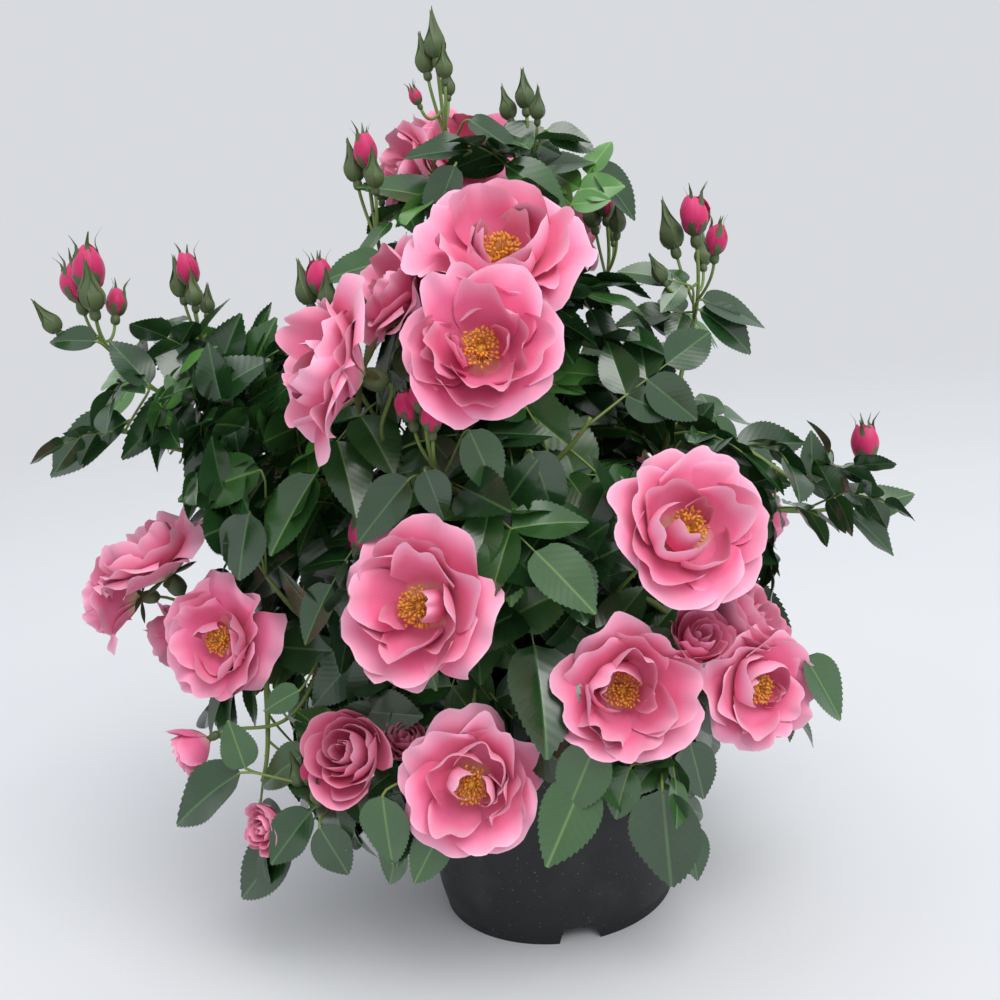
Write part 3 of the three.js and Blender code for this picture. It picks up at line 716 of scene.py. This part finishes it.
def stamens(centre, axes, radius, rng):
    ex, ey, ez = axes
    for k in range(STAMENS.count):
        out = round_axes(axes, k * GOLDEN_ANGLE)
        lean = sqrt((k + 6) / (STAMENS.count + 6)) * rng.span(0.8, 1.1)
        foot = centre + out * radius * STAMENS.foot * lean
        rise = STAMENS.height - STAMENS.lower * lean + 0.06 * rng()
        top = centre + out * radius * STAMENS.reach * lean + ez * radius * rise
        middle = (top + foot) / 2 + ez * radius * 0.05
        tube(filaments, array([foot, middle, top]), radius * STAMENS.filament, 3, tint=rng())
        tilt = ex * rng.span(-0.8, 0.8) + ey * rng.span(-0.8, 0.8)
        along = unit(unit(top - middle) + tilt) * radius * STAMENS.anther
        sizes = radius * STAMENS.anther * array([0.4, 0.7, 0.35])
        tube(anthers, array([top - along, top, top + along]), sizes, 5, tint=rng())
    cushion = centre + outer(linspace(0, 0.16, 6) * radius, ez)
    tube(filaments, cushion, radius * array([0.07, 0.085, 0.09, 0.08, 0.055, 0.01]), 12, tint=0.2)


def sepal(root, out, up, length, reflex, rng):
    """A narrow pointed blade that leaves a hip outwards and bends by some share up or back."""
    t = shares(8)
    line = root + out * length * 0.85 * t + up * length * reflex * t**1.6
    side = unit(cross(out, up))
    half = length * 0.15 * sin(pi * (0.14 + 0.84 * t)) ** 0.8 + 0.08
    middle = line - up * 0.1 * length * sin(pi * t)
    points = stack([line - side * half, middle, line + side * half], axis=1)
    greens.add_grid(points, tint=rng.span(0.2, 0.7))


def hip(foot, way, radius, length, tint=0.5):
    t = linspace(0, 1, 8)
    radii = radius * (0.3 + 0.7 * sin(pi * t**0.8) ** 0.6)
    tube(greens, foot + outer(t * length, way), radii, 12, tint=tint)


def kind_of(flower, rng):
    """Flowers open from deep pink to light pink."""
    if flower.opening < OPENING.warm:
        return "petal_warm"
    if flower.opening < OPENING.opened:
        return "petal_mid" if rng() < 0.7 else "petal_warm"
    return "petal_light" if rng() < 0.6 else "petal_mid"


def make_bloom(flower, rng):
    radius, depth, way = flower.radius, flower.depth, flower.way
    axes = axes_of(way)
    base = flower.at - way * depth
    heap = petal_heaps[kind_of(flower, rng)]
    opened = flower.opening > OPENING.opened
    start = rng() * 2 * pi
    for rule in OPEN_WHORLS if opened else CUPPED_WHORLS:
        more = 1 if rule.count < 5 and rng() < 0.5 else 0
        for k in range(rule.count + more):
            phi = start + rule.turn + TURN * k / rule.count + rng.span(-0.28, 0.28)
            rim = radius * rule.rim * rng.span(0.86, 1.04)
            top = depth + radius * rng.span(*rule.rise)
            belly = (radius * rule.belly[0], depth * rule.belly[1] * rng.span(0.8, 1.2))
            half = radius * rule.half * rng.span(0.88, 1.1)
            petal(heap, base, axes, phi, [(radius * 0.04, 0.0), belly, (rim, top)], half, rule, rng)
    if opened:
        stamens(base + way * depth * 0.3, axes, radius, rng)
    size = flower.hip
    hip(base - way * size * HIP.below, way, size * HIP.radius, size * HIP.length)
    for k in range(5):
        out = round_axes(axes, start + TURN * k / 5)
        away = unit(out + way * (0.35 if opened else 1.3))
        sepal(base + out * size * 0.3, away, way, radius * 0.4 + 7, -0.3 if opened else 0.0, rng)


# Buds: a hip, a body of wrapped petals that is green while its sepals are shut, and five sepals round it.
# Sizes are shares of the bud's size, and the shape is pairs of height and radius.
BUD_HIP = Sizes(radius=0.24, height=0.5, into_body=0.15)
PINK_BUD = Sizes(radius=0.5, length=1.45, cover=1.3, flare=0.85, sepal=0.36)
PINK_BUD.shape = ((0, 0.4), (0.12, 0.76), (0.32, 1.0), (0.6, 0.88), (0.82, 0.54), (0.94, 0.26), (1, 0.06))
GREEN_BUD = Sizes(radius=0.52, length=1.95, cover=1.1, flare=0.07, sepal=0.62)
GREEN_BUD.shape = (
    (0, 0.42), (0.1, 0.8), (0.26, 1.0), (0.4, 0.88), (0.56, 0.5), (0.72, 0.22), (0.88, 0.11), (1, 0.03),
)
PINK_IF = Sizes(middle_above=13.5, others_above=16.5, share=0.25)
BUD_PETAL = Whorl(3, 0, (0, 0), (0, 0), 0, 1.0, (-0.02, 0.1), (0.0, 0.03), 0)


def calyx(body, axes, radius, length, rule, rng):
    """Five sepals that hug a bud's body, with thin tips that part from it."""
    t = linspace(0, 1, 12)
    hug = interp(t * rule.cover, *zip(*rule.shape)) * radius * 1.04 + 0.25
    for k in range(5):
        out = round_axes(axes, TURN * k / 5 + rng.span(-0.12, 0.12))
        side = cross(axes[2], out)
        away = hug + rule.flare * rng.span(0.4, 1.3) * length * np.maximum(t - 0.42, 0) ** 1.5
        half = radius * rule.sepal * sin(pi * (0.3 + 0.68 * t)) ** 1.5 + 0.12
        rise = t * rule.cover * length * rng.span(0.9, 1.08)
        middle = body + outer(rise, axes[2]) + outer(away, out)
        back = outer(half * 0.3, out)
        edges = [middle - outer(half, side) - back, middle, middle + outer(half, side) - back]
        greens.add_grid(stack(edges, axis=1), tint=rng.span(0.2, 0.8))


def make_bud(bud, rng, pink):
    size, way = bud.size, bud.way
    axes = axes_of(way)
    hip(bud.foot, way, size * BUD_HIP.radius, size * (BUD_HIP.height + BUD_HIP.into_body), tint=0.55)
    body = bud.foot + way * size * BUD_HIP.height
    rule = PINK_BUD if pink else GREEN_BUD
    length = size * rule.length
    radius = size * rule.radius
    t = linspace(0, 1, 18)
    spiral = 1 + 0.12 * ((whole_turn(20)[None, :] * 2 / TURN + 0.9 * t[:, None]) % 1 - 0.6)
    heap = petal_heaps["petal_deep"] if pink else greens
    swell = interp(t, *zip(*rule.shape)) * radius
    tube(heap, body + outer(t * length, way), swell, 20, relief=spiral if pink else 1, tint=rng())
    start = rng() * 6
    for k in range(4 if pink else 0):
        top = (radius * rng.span(0.25, 0.5), length * rng.span(0.92, 1.06))
        profile = [(radius * 0.3, 0.0), (radius * 1.8, length * 0.42), top]
        petal(heap, body, axes, start + k * 1.7, profile, radius * 1.1, BUD_PETAL, rng)
    calyx(body, axes, radius, length, rule, rng)


def grow_flowers(mass, rng):
    for each in mass.shoots:
        heads = []
        for flower in each.blooms:
            heads.append((flower.at - flower.way * (flower.depth + flower.hip * HIP.stalk), flower.way))
            make_bloom(flower, rng)
        for bud in buds_of(each):
            heads.append((bud.foot, bud.way))
            least = PINK_IF.middle_above if bud.place == 0 else PINK_IF.others_above
            make_bud(bud, rng, bud.size > least or rng() < PINK_IF.share)
        if not heads:
            continue
        base, way = heads[0]
        main = bezier(each.curve.points[-1], each.at, base - way * STALK.arrive, base, 16)
        tube(shoot_heap, main.points, linspace(SHOOT.tip, STALK.radius, 16), 8, tint=0.8)
        for i, (base, way) in enumerate(heads[1:], 1):
            start = main.at(STALK.forks * i)
            line = bezier(start, mix(start, base - way * STALK.arrive, 0.7), base - way * 8, base, 12)
            tube(shoot_heap, line.points, STALK.radius * 0.9, 7, tint=0.85)


# Canes and shoots, with prickles, and the rootstock.
cane_heap = Heap()
prickle_heap = Heap()


def prickles(curve, radius, every, rng, first=0.05):
    for k in range(int(curve.length * (1 - first) / every)):
        share = first + (1 - first) * (k + rng()) * every / curve.length
        if share > 0.97:
            break
        way = curve.tangent(share)
        out = unit(cross(way, direction(rng() * 360, 20)))
        size = rng.span(*PRICKLE.length)
        t = shares(4)
        line = curve.at(share) + out * radius * 0.8 + out * size * t - way * size * 0.5 * t**2
        tube(prickle_heap, line, [size * 0.3, size * 0.16, size * 0.07, 0.02], 5, tint=rng())


def grow_stems(mass, rng):
    cane = mass.cane
    count = len(cane.points)
    relief = 1 + 0.05 * sin(np.arange(count)[:, None] * 0.9 + np.arange(12)[None, :] * 2.1)
    tube(cane_heap, cane.points, linspace(CANE.base, CANE.tip, count), 12, relief=relief, tint=0.4)
    prickles(cane, CANE.tip, PRICKLE.on_cane, rng, first=0.3)
    for each in mass.shoots:
        points = each.curve.points
        base = CANE.tip * 0.95 if each is mass.shoots[0] else SHOOT.base
        tints = np.repeat(linspace(0.45, 0.75, len(points) + 2), 8)
        tube(shoot_heap, points, linspace(base, SHOOT.tip, len(points)), 8, tint=tints)
        prickles(each.curve, SHOOT.tip, PRICKLE.on_shoot, rng)


def rootstock_surface():
    """A short swollen stem with the marks of old cuts."""
    t = shares(26)
    turn = whole_turn(48)[None, :]
    profile = interp(t, [0, 0.3, 0.55, 0.8, 0.93, 1], [0.72, 0.78, 0.98, 0.82, 0.5, 0.02])
    lumps = 1 + 0.07 * sin(3 * turn + 4 * t) + 0.04 * sin(7 * turn - 9 * t)
    lumps = lumps + 0.02 * sin(17 * turn + 3 * t)
    radius = ROOTSTOCK.radius * profile * lumps
    z = compost_top + mix(-ROOTSTOCK.buried, ROOTSTOCK.height, t) + 0.6 * sin(5 * turn) * t
    heap = Heap()
    points = np.broadcast_arrays(radius * cos(turn), radius * sin(turn), z)
    heap.add_grid(stack(points, axis=-1), True, tint=0.2)
    return heap


# The pot and its compost.
def rounded(points, radius=0.6):
    """The profile with each corner cut twice, so that edges catch the light."""
    points = [array(p, dtype=float) for p in points]
    made = [points[0]]
    for before, corner, after in zip(points, points[1:], points[2:]):
        for other, share in ((before, 1.0), (before, 0.35), (after, 0.35), (after, 1.0)):
            step = other - corner
            made.append(corner + step / norm(step) * min(radius * share, norm(step) / 3))
    made.append(points[-1])
    return array(made)


def pot_surface():
    sides = 160
    wall = POT.wall
    band = POT.height - POT.rim_band
    floor = CHANNEL.height + wall
    shoulder = POT.foot_radius + POT.ledge
    inner_rim = POT.rim_radius - POT.rim_lip
    profile = rounded([
        (0.01, 0),
        (CHANNEL.inner, 0),
        (CHANNEL.inner + wall, CHANNEL.height),
        (CHANNEL.outer - wall, CHANNEL.height),
        (CHANNEL.outer, 0),
        (POT.foot_radius, 0),
        (POT.foot_radius, POT.foot_height),
        (shoulder, POT.foot_height),
        *[(mix(shoulder, inner_rim, z / POT.height), z) for z in (16, 24, 60, 110, band)],
        (POT.rim_radius, band),
        (POT.rim_radius, POT.height),
        (inner_rim - wall, POT.height),
        (POT.foot_radius - wall, floor),
        (CHANNEL.inner, floor),
        (CHANNEL.inner - wall, wall),
        (0.01, wall),
    ])
    turn = whole_turn(sides)
    x, y = profile[:, :1] * cos(turn), profile[:, :1] * sin(turn)
    heap = Heap()
    rings = stack([x, y, np.broadcast_to(profile[:, 1:], x.shape)], axis=-1)
    heap.add_grid(rings, True)
    heap.faces += [np.arange(sides)[None, ::-1], np.arange(heap.count - sides, heap.count)[None]]
    return heap


def notch_cutter(k):
    out = direction(NOTCH.azimuth + 360 * k / NOTCH.count, 0)
    side = array([-out[1], out[0], 0])
    half, top = NOTCH.width / 2, NOTCH.top_width / 2
    corners = [
        tuple((out * reach + side * across + UP * height) * MM)
        for reach in (CHANNEL.outer - POT.wall, POT.foot_radius + 5)
        for across, height in ((-half, -1), (half, -1), (top, CHANNEL.height), (-top, CHANNEL.height))
    ]
    faces = [(3, 2, 1, 0), (4, 5, 6, 7), (1, 5, 4, 0), (2, 6, 5, 1), (3, 7, 6, 2), (0, 4, 7, 3)]
    mesh = bpy.data.meshes.new("notch")
    mesh.from_pydata(corners, [], faces)
    return add_object("notch", mesh)


def cut_notches(pot):
    cutters = [notch_cutter(k) for k in range(NOTCH.count)]
    for cutter in cutters:
        cut = pot.modifiers.new("notch", "BOOLEAN")
        cut.object = cutter
        cut.operation = "DIFFERENCE"
        cut.solver = "EXACT"
    bpy.context.view_layer.update()
    graph = bpy.context.evaluated_depsgraph_get()
    mesh = bpy.data.meshes.new_from_object(pot.evaluated_get(graph))
    pot.modifiers.clear()
    mesh.set_sharp_from_angle(angle=radians(35))
    pot.data = mesh
    for cutter in cutters:
        bpy.data.objects.remove(cutter)


def compost_surface(rng):
    heap = Heap()
    top = POT.rim_radius - POT.rim_lip - POT.wall - COMPOST.inset
    reach = linspace(0.05, 1, 40)[:, None] * top
    turn = whole_turn(120)[None, :]
    x, y = reach * cos(turn), reach * sin(turn)
    bumps = 1.2 * sin(x * 0.31 + 1.3) * sin(y * 0.27)
    bumps = bumps + 0.7 * sin(x * 0.9 + y * 0.7) * sin(y * 1.1)
    z = compost_top - 0.5 - COMPOST.heaped * (reach / top) ** 4 + bumps
    skin = stack(np.broadcast_arrays(x, y, z), axis=-1)
    foot = skin[-1:] * [0.86, 0.86, 0] + [0, 0, CHANNEL.height + POT.wall + 1]
    heap.add_grid(concatenate([skin, foot, foot * [0.01, 0.01, 1]]), True, tint=0.3)
    for _ in range(COMPOST.crumbs):
        angle, out = rng() * 2 * pi, sqrt(rng()) * top * 0.97
        size = rng.span(0.8, 2.8)
        height = compost_top - COMPOST.heaped * (out / top) ** 4 + size * 0.3
        at = array([out * cos(angle), out * sin(angle), height])
        long = direction(rng() * 360, rng.span(-30, 30)) * size
        line = array([at - long, at - long * 0.5, at + long * 0.4, at + long])
        tube(heap, line, array([0.3, 0.8, 0.9, 0.25]) * size * 0.6, 5, tint=rng())
    return heap


# Materials. A colour in a ramp may be a number, which is a grey.
class Shader:
    """A material with one Principled surface and a few short ways to add to it."""

    def __init__(self, name, roughness, specular, **values):
        self.material = bpy.data.materials.new(name)
        self.material.use_nodes = True
        self.tree = self.material.node_tree
        self.surface = self.tree.nodes["Principled BSDF"]
        values.update(Roughness=roughness, Specular_IOR_Level=specular)
        for key, value in values.items():
            self.surface.inputs[key.replace("_", " ")].default_value = value

    def node(self, kind, *values, **named):
        """A node whose first inputs take the values, and whose own inputs or settings take the named ones."""
        made = self.tree.nodes.new(kind)
        for key, value in named.items():
            if key in made.inputs:
                made.inputs[key].default_value = value
            else:
                setattr(made, key, value)
        for socket, value in zip(made.inputs, values):
            self.put(socket, value)
        return made

    def put(self, socket, value):
        if isinstance(value, (int, float)):
            socket.default_value = value
        elif isinstance(value, tuple):
            socket.default_value = (*value, 1)
        else:
            self.tree.links.new(value, socket)

    def math(self, operation, *values):
        return self.node("ShaderNodeMath", *values, operation=operation).outputs[0]

    def places(self, kind="Object"):
        return self.node("ShaderNodeTexCoord").outputs[kind]

    def across_and_along(self):
        """The two shares of a blade's or a petal's own surface."""
        return self.node("ShaderNodeSeparateXYZ", self.places("UV")).outputs[:2]

    def noise(self, scale, detail=4.0):
        return self.node("ShaderNodeTexNoise", self.places(), Scale=scale, Detail=detail).outputs["Fac"]

    def tint(self):
        return self.node("ShaderNodeAttribute", attribute_name="tint").outputs["Fac"]

    def ramp(self, source, *stops):
        ramp = self.node("ShaderNodeValToRGB", source)
        elements = ramp.color_ramp.elements
        while len(elements) < len(stops):
            elements.new(0.5)
        for element, (place, color) in zip(elements, stops):
            element.position = place
            element.color = (*color, 1) if isinstance(color, tuple) else (color, color, color, 1)
        return ramp.outputs["Color"]

    def mix(self, share, first, second, blend="MIX"):
        node = self.node("ShaderNodeMix", data_type="RGBA", blend_type=blend)
        for k, value in ((0, share), (6, first), (7, second)):
            self.put(node.inputs[k], value)
        return node.outputs[2]

    def bump(self, source, strength, distance):
        node = self.node("ShaderNodeBump", Strength=strength, Distance=distance)
        self.put(node.inputs["Height"], source)
        self.put(self.surface.inputs["Normal"], node.outputs["Normal"])

    def color(self, source):
        self.put(self.surface.inputs["Base Color"], source)


def srgb(code):
    values = [int(code[k : k + 2], 16) / 255 for k in (0, 2, 4)]
    return tuple(v / 12.92 if v <= 0.04045 else ((v + 0.055) / 1.055) ** 2.4 for v in values)


VEINS = Sizes(slant=-0.55, waves=62)
STREAKS = 150


def leaf_material(name, *codes):
    dark, light, rib = map(srgb, codes)
    shader = Shader(name, 0.27, 0.9, Subsurface_Weight=0.08, Subsurface_Radius=(0.002, 0.004, 0.001))
    tone = shader.mix(shader.tint(), dark, light)
    mottled = shader.mix(shader.noise(60), tone, light)
    across, along = shader.across_and_along()
    away = shader.math("ABSOLUTE", shader.math("SUBTRACT", across, 0.5))
    midrib = shader.ramp(away, (0.0, 1), (0.035, 0))
    slanted = shader.math("MULTIPLY_ADD", away, VEINS.slant, along)
    veins = shader.math("SINE", shader.math("MULTIPLY", slanted, VEINS.waves))
    veined = shader.ramp(veins, (0.9, 0), (1.0, 0.08))
    shader.color(shader.mix(midrib, shader.mix(veined, mottled, rib), rib))
    shader.bump(veins, 0.05, 0.0003)
    return shader.material


def petal_material(name, *codes):
    rim, body, fold, throat = map(srgb, codes)
    subsurface = dict(Subsurface_Weight=0.25, Subsurface_Radius=(0.006, 0.003, 0.003))
    shader = Shader(name, 0.52, 0.3, Sheen_Weight=0.15, **subsurface)
    across, along = shader.across_and_along()
    run = shader.ramp(along, (0.0, throat), (0.12, throat), (0.32, body))
    aside = shader.math("ABSOLUTE", shader.math("MULTIPLY_ADD", across, 2, -1))
    # Painted light: the petal's sides and outer end turn towards the lighter rim colour, a painted highlight
    # on the rolled rims.
    edge = shader.math("MAXIMUM", shader.math("MULTIPLY", aside, along), along)
    painted_rim_light = shader.ramp(edge, (0.72, 0), (0.94, 0.6), (1.0, 1))
    patchy = shader.ramp(shader.noise(34, 3.0), (0.35, 0), (0.75, 0.55))
    tone_with_rim_light = shader.mix(painted_rim_light, shader.mix(patchy, run, fold), rim)
    tone = shader.ramp(shader.tint(), (0.0, 0.86), (1.0, 1))
    shader.color(shader.mix(1.0, tone_with_rim_light, tone, "MULTIPLY"))
    shader.bump(shader.math("SINE", shader.math("MULTIPLY", across, STREAKS)), 0.05, 0.0002)
    return shader.material


def plain_material(name, codes, roughness, scale, bump=0.3, distance=0.0005):
    low, high, speckles = map(srgb, codes.split())
    shader = Shader(name, roughness, 0.4)
    speckle = shader.noise(scale, 6.0)
    shader.color(shader.mix(speckle, shader.ramp(shader.tint(), (0.0, low), (1.0, high)), speckles))
    shader.bump(speckle, bump, distance)
    return shader.material


def pot_material():
    shader = Shader("pot_plastic", 0.46, 0.45)
    scuffs = shader.noise(26, 8.0)
    dust = shader.ramp(scuffs, (0.52, 0), (0.78, 0.35))
    specks = shader.ramp(shader.noise(520, 2.0), (0.7, 0), (0.74, 0.6))
    dusty = shader.mix(dust, srgb("131417"), srgb("4A4A4B"))
    shader.color(shader.mix(specks, dusty, srgb("7A7672")))
    rough = shader.node("ShaderNodeMapRange", scuffs, **{"To Min": 0.38, "To Max": 0.62})
    shader.put(shader.surface.inputs["Roughness"], rough.outputs["Result"])
    shader.bump(shader.noise(900, 3.0), 0.12, 0.0003)
    return shader.material


# Everything is grown, then gathered into pieces by kind.
growth = Chance(77)
for index, mass in enumerate(masses):
    grow_stems(mass, growth)
    grow_flowers(mass, Chance(900 + index))
    grow_leaves(mass, Chance(401 + index))
    for lone, table in ((True, OUTER_LEAVES), (False, OUTER_SPRAYS)):
        for row in table.get(mass.name, ()):
            set_leaf(mass, row[:3], row[3:], lone, growth)


def plain_piece(heap, name, slot, replaced, *look):
    heap.piece(name, plain_material(*look), slot, replaced)


def nodes_of(kind):
    return [name for name in nodes if name.startswith(kind)]


plain_piece(cane_heap, "canes", "bark", nodes_of("bough_"), "cane_bark", "5E5A34 7E8A4C 6B5A38", 0.6, 240)
old_bark = ("old_bark", "54452F 6E6143 3A2E20", 0.85, 120, 0.8, 0.002)
plain_piece(rootstock_surface(), "rootstock_stem", "bark", ["rootstock"], *old_bark)
green_bark = ("shoot_bark", "5F6B34 7F9C50 6C7F40", 0.5, 320, 0.15)
plain_piece(shoot_heap, "shoots", "bark", nodes_of("foliage_"), *green_bark)
plain_piece(prickle_heap, "prickles", "bark", (), "prickle", "8A3B2C A8583C 6E2C24", 0.45, 300, 0.1)
for kind, heap in leaf_heaps.items():
    heap.piece(kind, leaf_material(kind, *LEAF_COLORS[kind]), "leaf")
for kind, heap in petal_heaps.items():
    replaced = nodes_of("flowers_") if kind == "petal_light" else ()
    heap.piece(kind, petal_material(kind, *PETAL_COLORS[kind]), "petal", replaced)
plain_piece(filaments, "filaments", "petal", (), "filament", "F2BE4C FAD878 E8A636", 0.5, 200, 0.1)
plain_piece(anthers, "anthers", "petal", (), "anther", "F09A30 FFC350 C07A30", 0.6, 400, 0.2)
plain_piece(greens, "sepals_and_hips", "leaf", (), "sepal", "3A5A34 5E7A48 56583C", 0.5, 120, 0.15)
cut_notches(pot_surface().piece("pot_shell", pot_material(), "pot_plastic", ["pot"]))
crumbs = ("compost_crumbs", "1E1510 4A3626 2C2018", 0.95, 300, 0.9, 0.002)
plain_piece(compost_surface(Chance(5)), "compost_surface", "compost", ["compost"], *crumbs)


# The floor, the light and the camera.
FLOOR = Sizes(half=4.0, fade_from=0.9, fade_to=3.6)
CAMERA = Sizes(at=(-0.0126, -0.7510, 0.4313), pitch=radians(11.44), roll=radians(6.23), lens=41.4, sensor=36)


def make_stage():
    """A pale floor that fades into the pale backdrop."""
    half = FLOOR.half
    mesh = bpy.data.meshes.new("floor")
    corners = [(-half, -half, 0), (half, -half, 0), (half, half, 0), (-half, half, 0)]
    mesh.from_pydata(corners, [], [(0, 1, 2, 3)])
    shader = Shader("floor_paint", 0.6, 0.3)
    shader.color(shader.mix(shader.noise(3, 2.0), srgb("E6E8EA"), srgb("E0E2E5")))
    reach = shader.node("ShaderNodeVectorMath", shader.places(), operation="LENGTH").outputs["Value"]
    ends = {"From Min": FLOOR.fade_from, "From Max": FLOOR.fade_to}
    fade = shader.node("ShaderNodeMapRange", reach, interpolation_type="SMOOTHSTEP", **ends).outputs["Result"]
    clear = shader.node("ShaderNodeBsdfTransparent").outputs[0]
    blend = shader.node("ShaderNodeMixShader", fade, shader.surface.outputs[0], clear)
    shader.put(shader.tree.nodes["Material Output"].inputs["Surface"], blend.outputs[0])
    mesh.materials.append(shader.material)
    add_object("floor", mesh)


def matrix_of(x, y, z, at):
    return Matrix([[x[k], y[k], z[k], at[k]] for k in range(3)] + [[0, 0, 0, 1]])


def make_light(kind, at, aim, **values):
    light = bpy.data.lights.new(kind.lower(), kind)
    for key, value in values.items():
        setattr(light, key, value)
    z = unit(array(at) - array(aim))
    x = unit(cross(UP, z))
    add_object(light.name, light).matrix_world = matrix_of(x, cross(z, x), z, at)


def make_camera():
    """The photograph's view: low tilt down, a little roll, and a lens fitted to the pot and the floor."""
    pitch, roll = CAMERA.pitch, CAMERA.roll
    forward = array([0, cos(pitch), -sin(pitch)])
    level_up = array([0, sin(pitch), cos(pitch)])
    right = array([1, 0, 0]) * cos(roll) - level_up * sin(roll)
    up = array([1, 0, 0]) * sin(roll) + level_up * cos(roll)
    camera = bpy.data.cameras.new("camera")
    camera.sensor_width = CAMERA.sensor
    camera.lens = CAMERA.lens
    camera.clip_start = 0.01
    made = add_object("camera", camera)
    made.matrix_world = matrix_of(right, up, -forward, CAMERA.at)
    bpy.context.scene.camera = made


make_stage()
world = bpy.data.worlds.new("studio")
world.use_nodes = True
world.node_tree.nodes["Background"].inputs["Color"].default_value = (0.88, 0.9, 0.94, 1)
world.node_tree.nodes["Background"].inputs["Strength"].default_value = 0.78
bpy.context.scene.world = world
bpy.context.scene.view_settings.view_transform = "Standard"
make_light("SUN", (0.35, -0.6, 1.0), (0, 0, 0), energy=1.05, angle=radians(50))
make_light("AREA", (0.7, -1.3, 1.7), (0, 0, 0.3), shape="SQUARE", size=1.2, energy=14, color=(1, 0.98, 0.96))
make_camera()
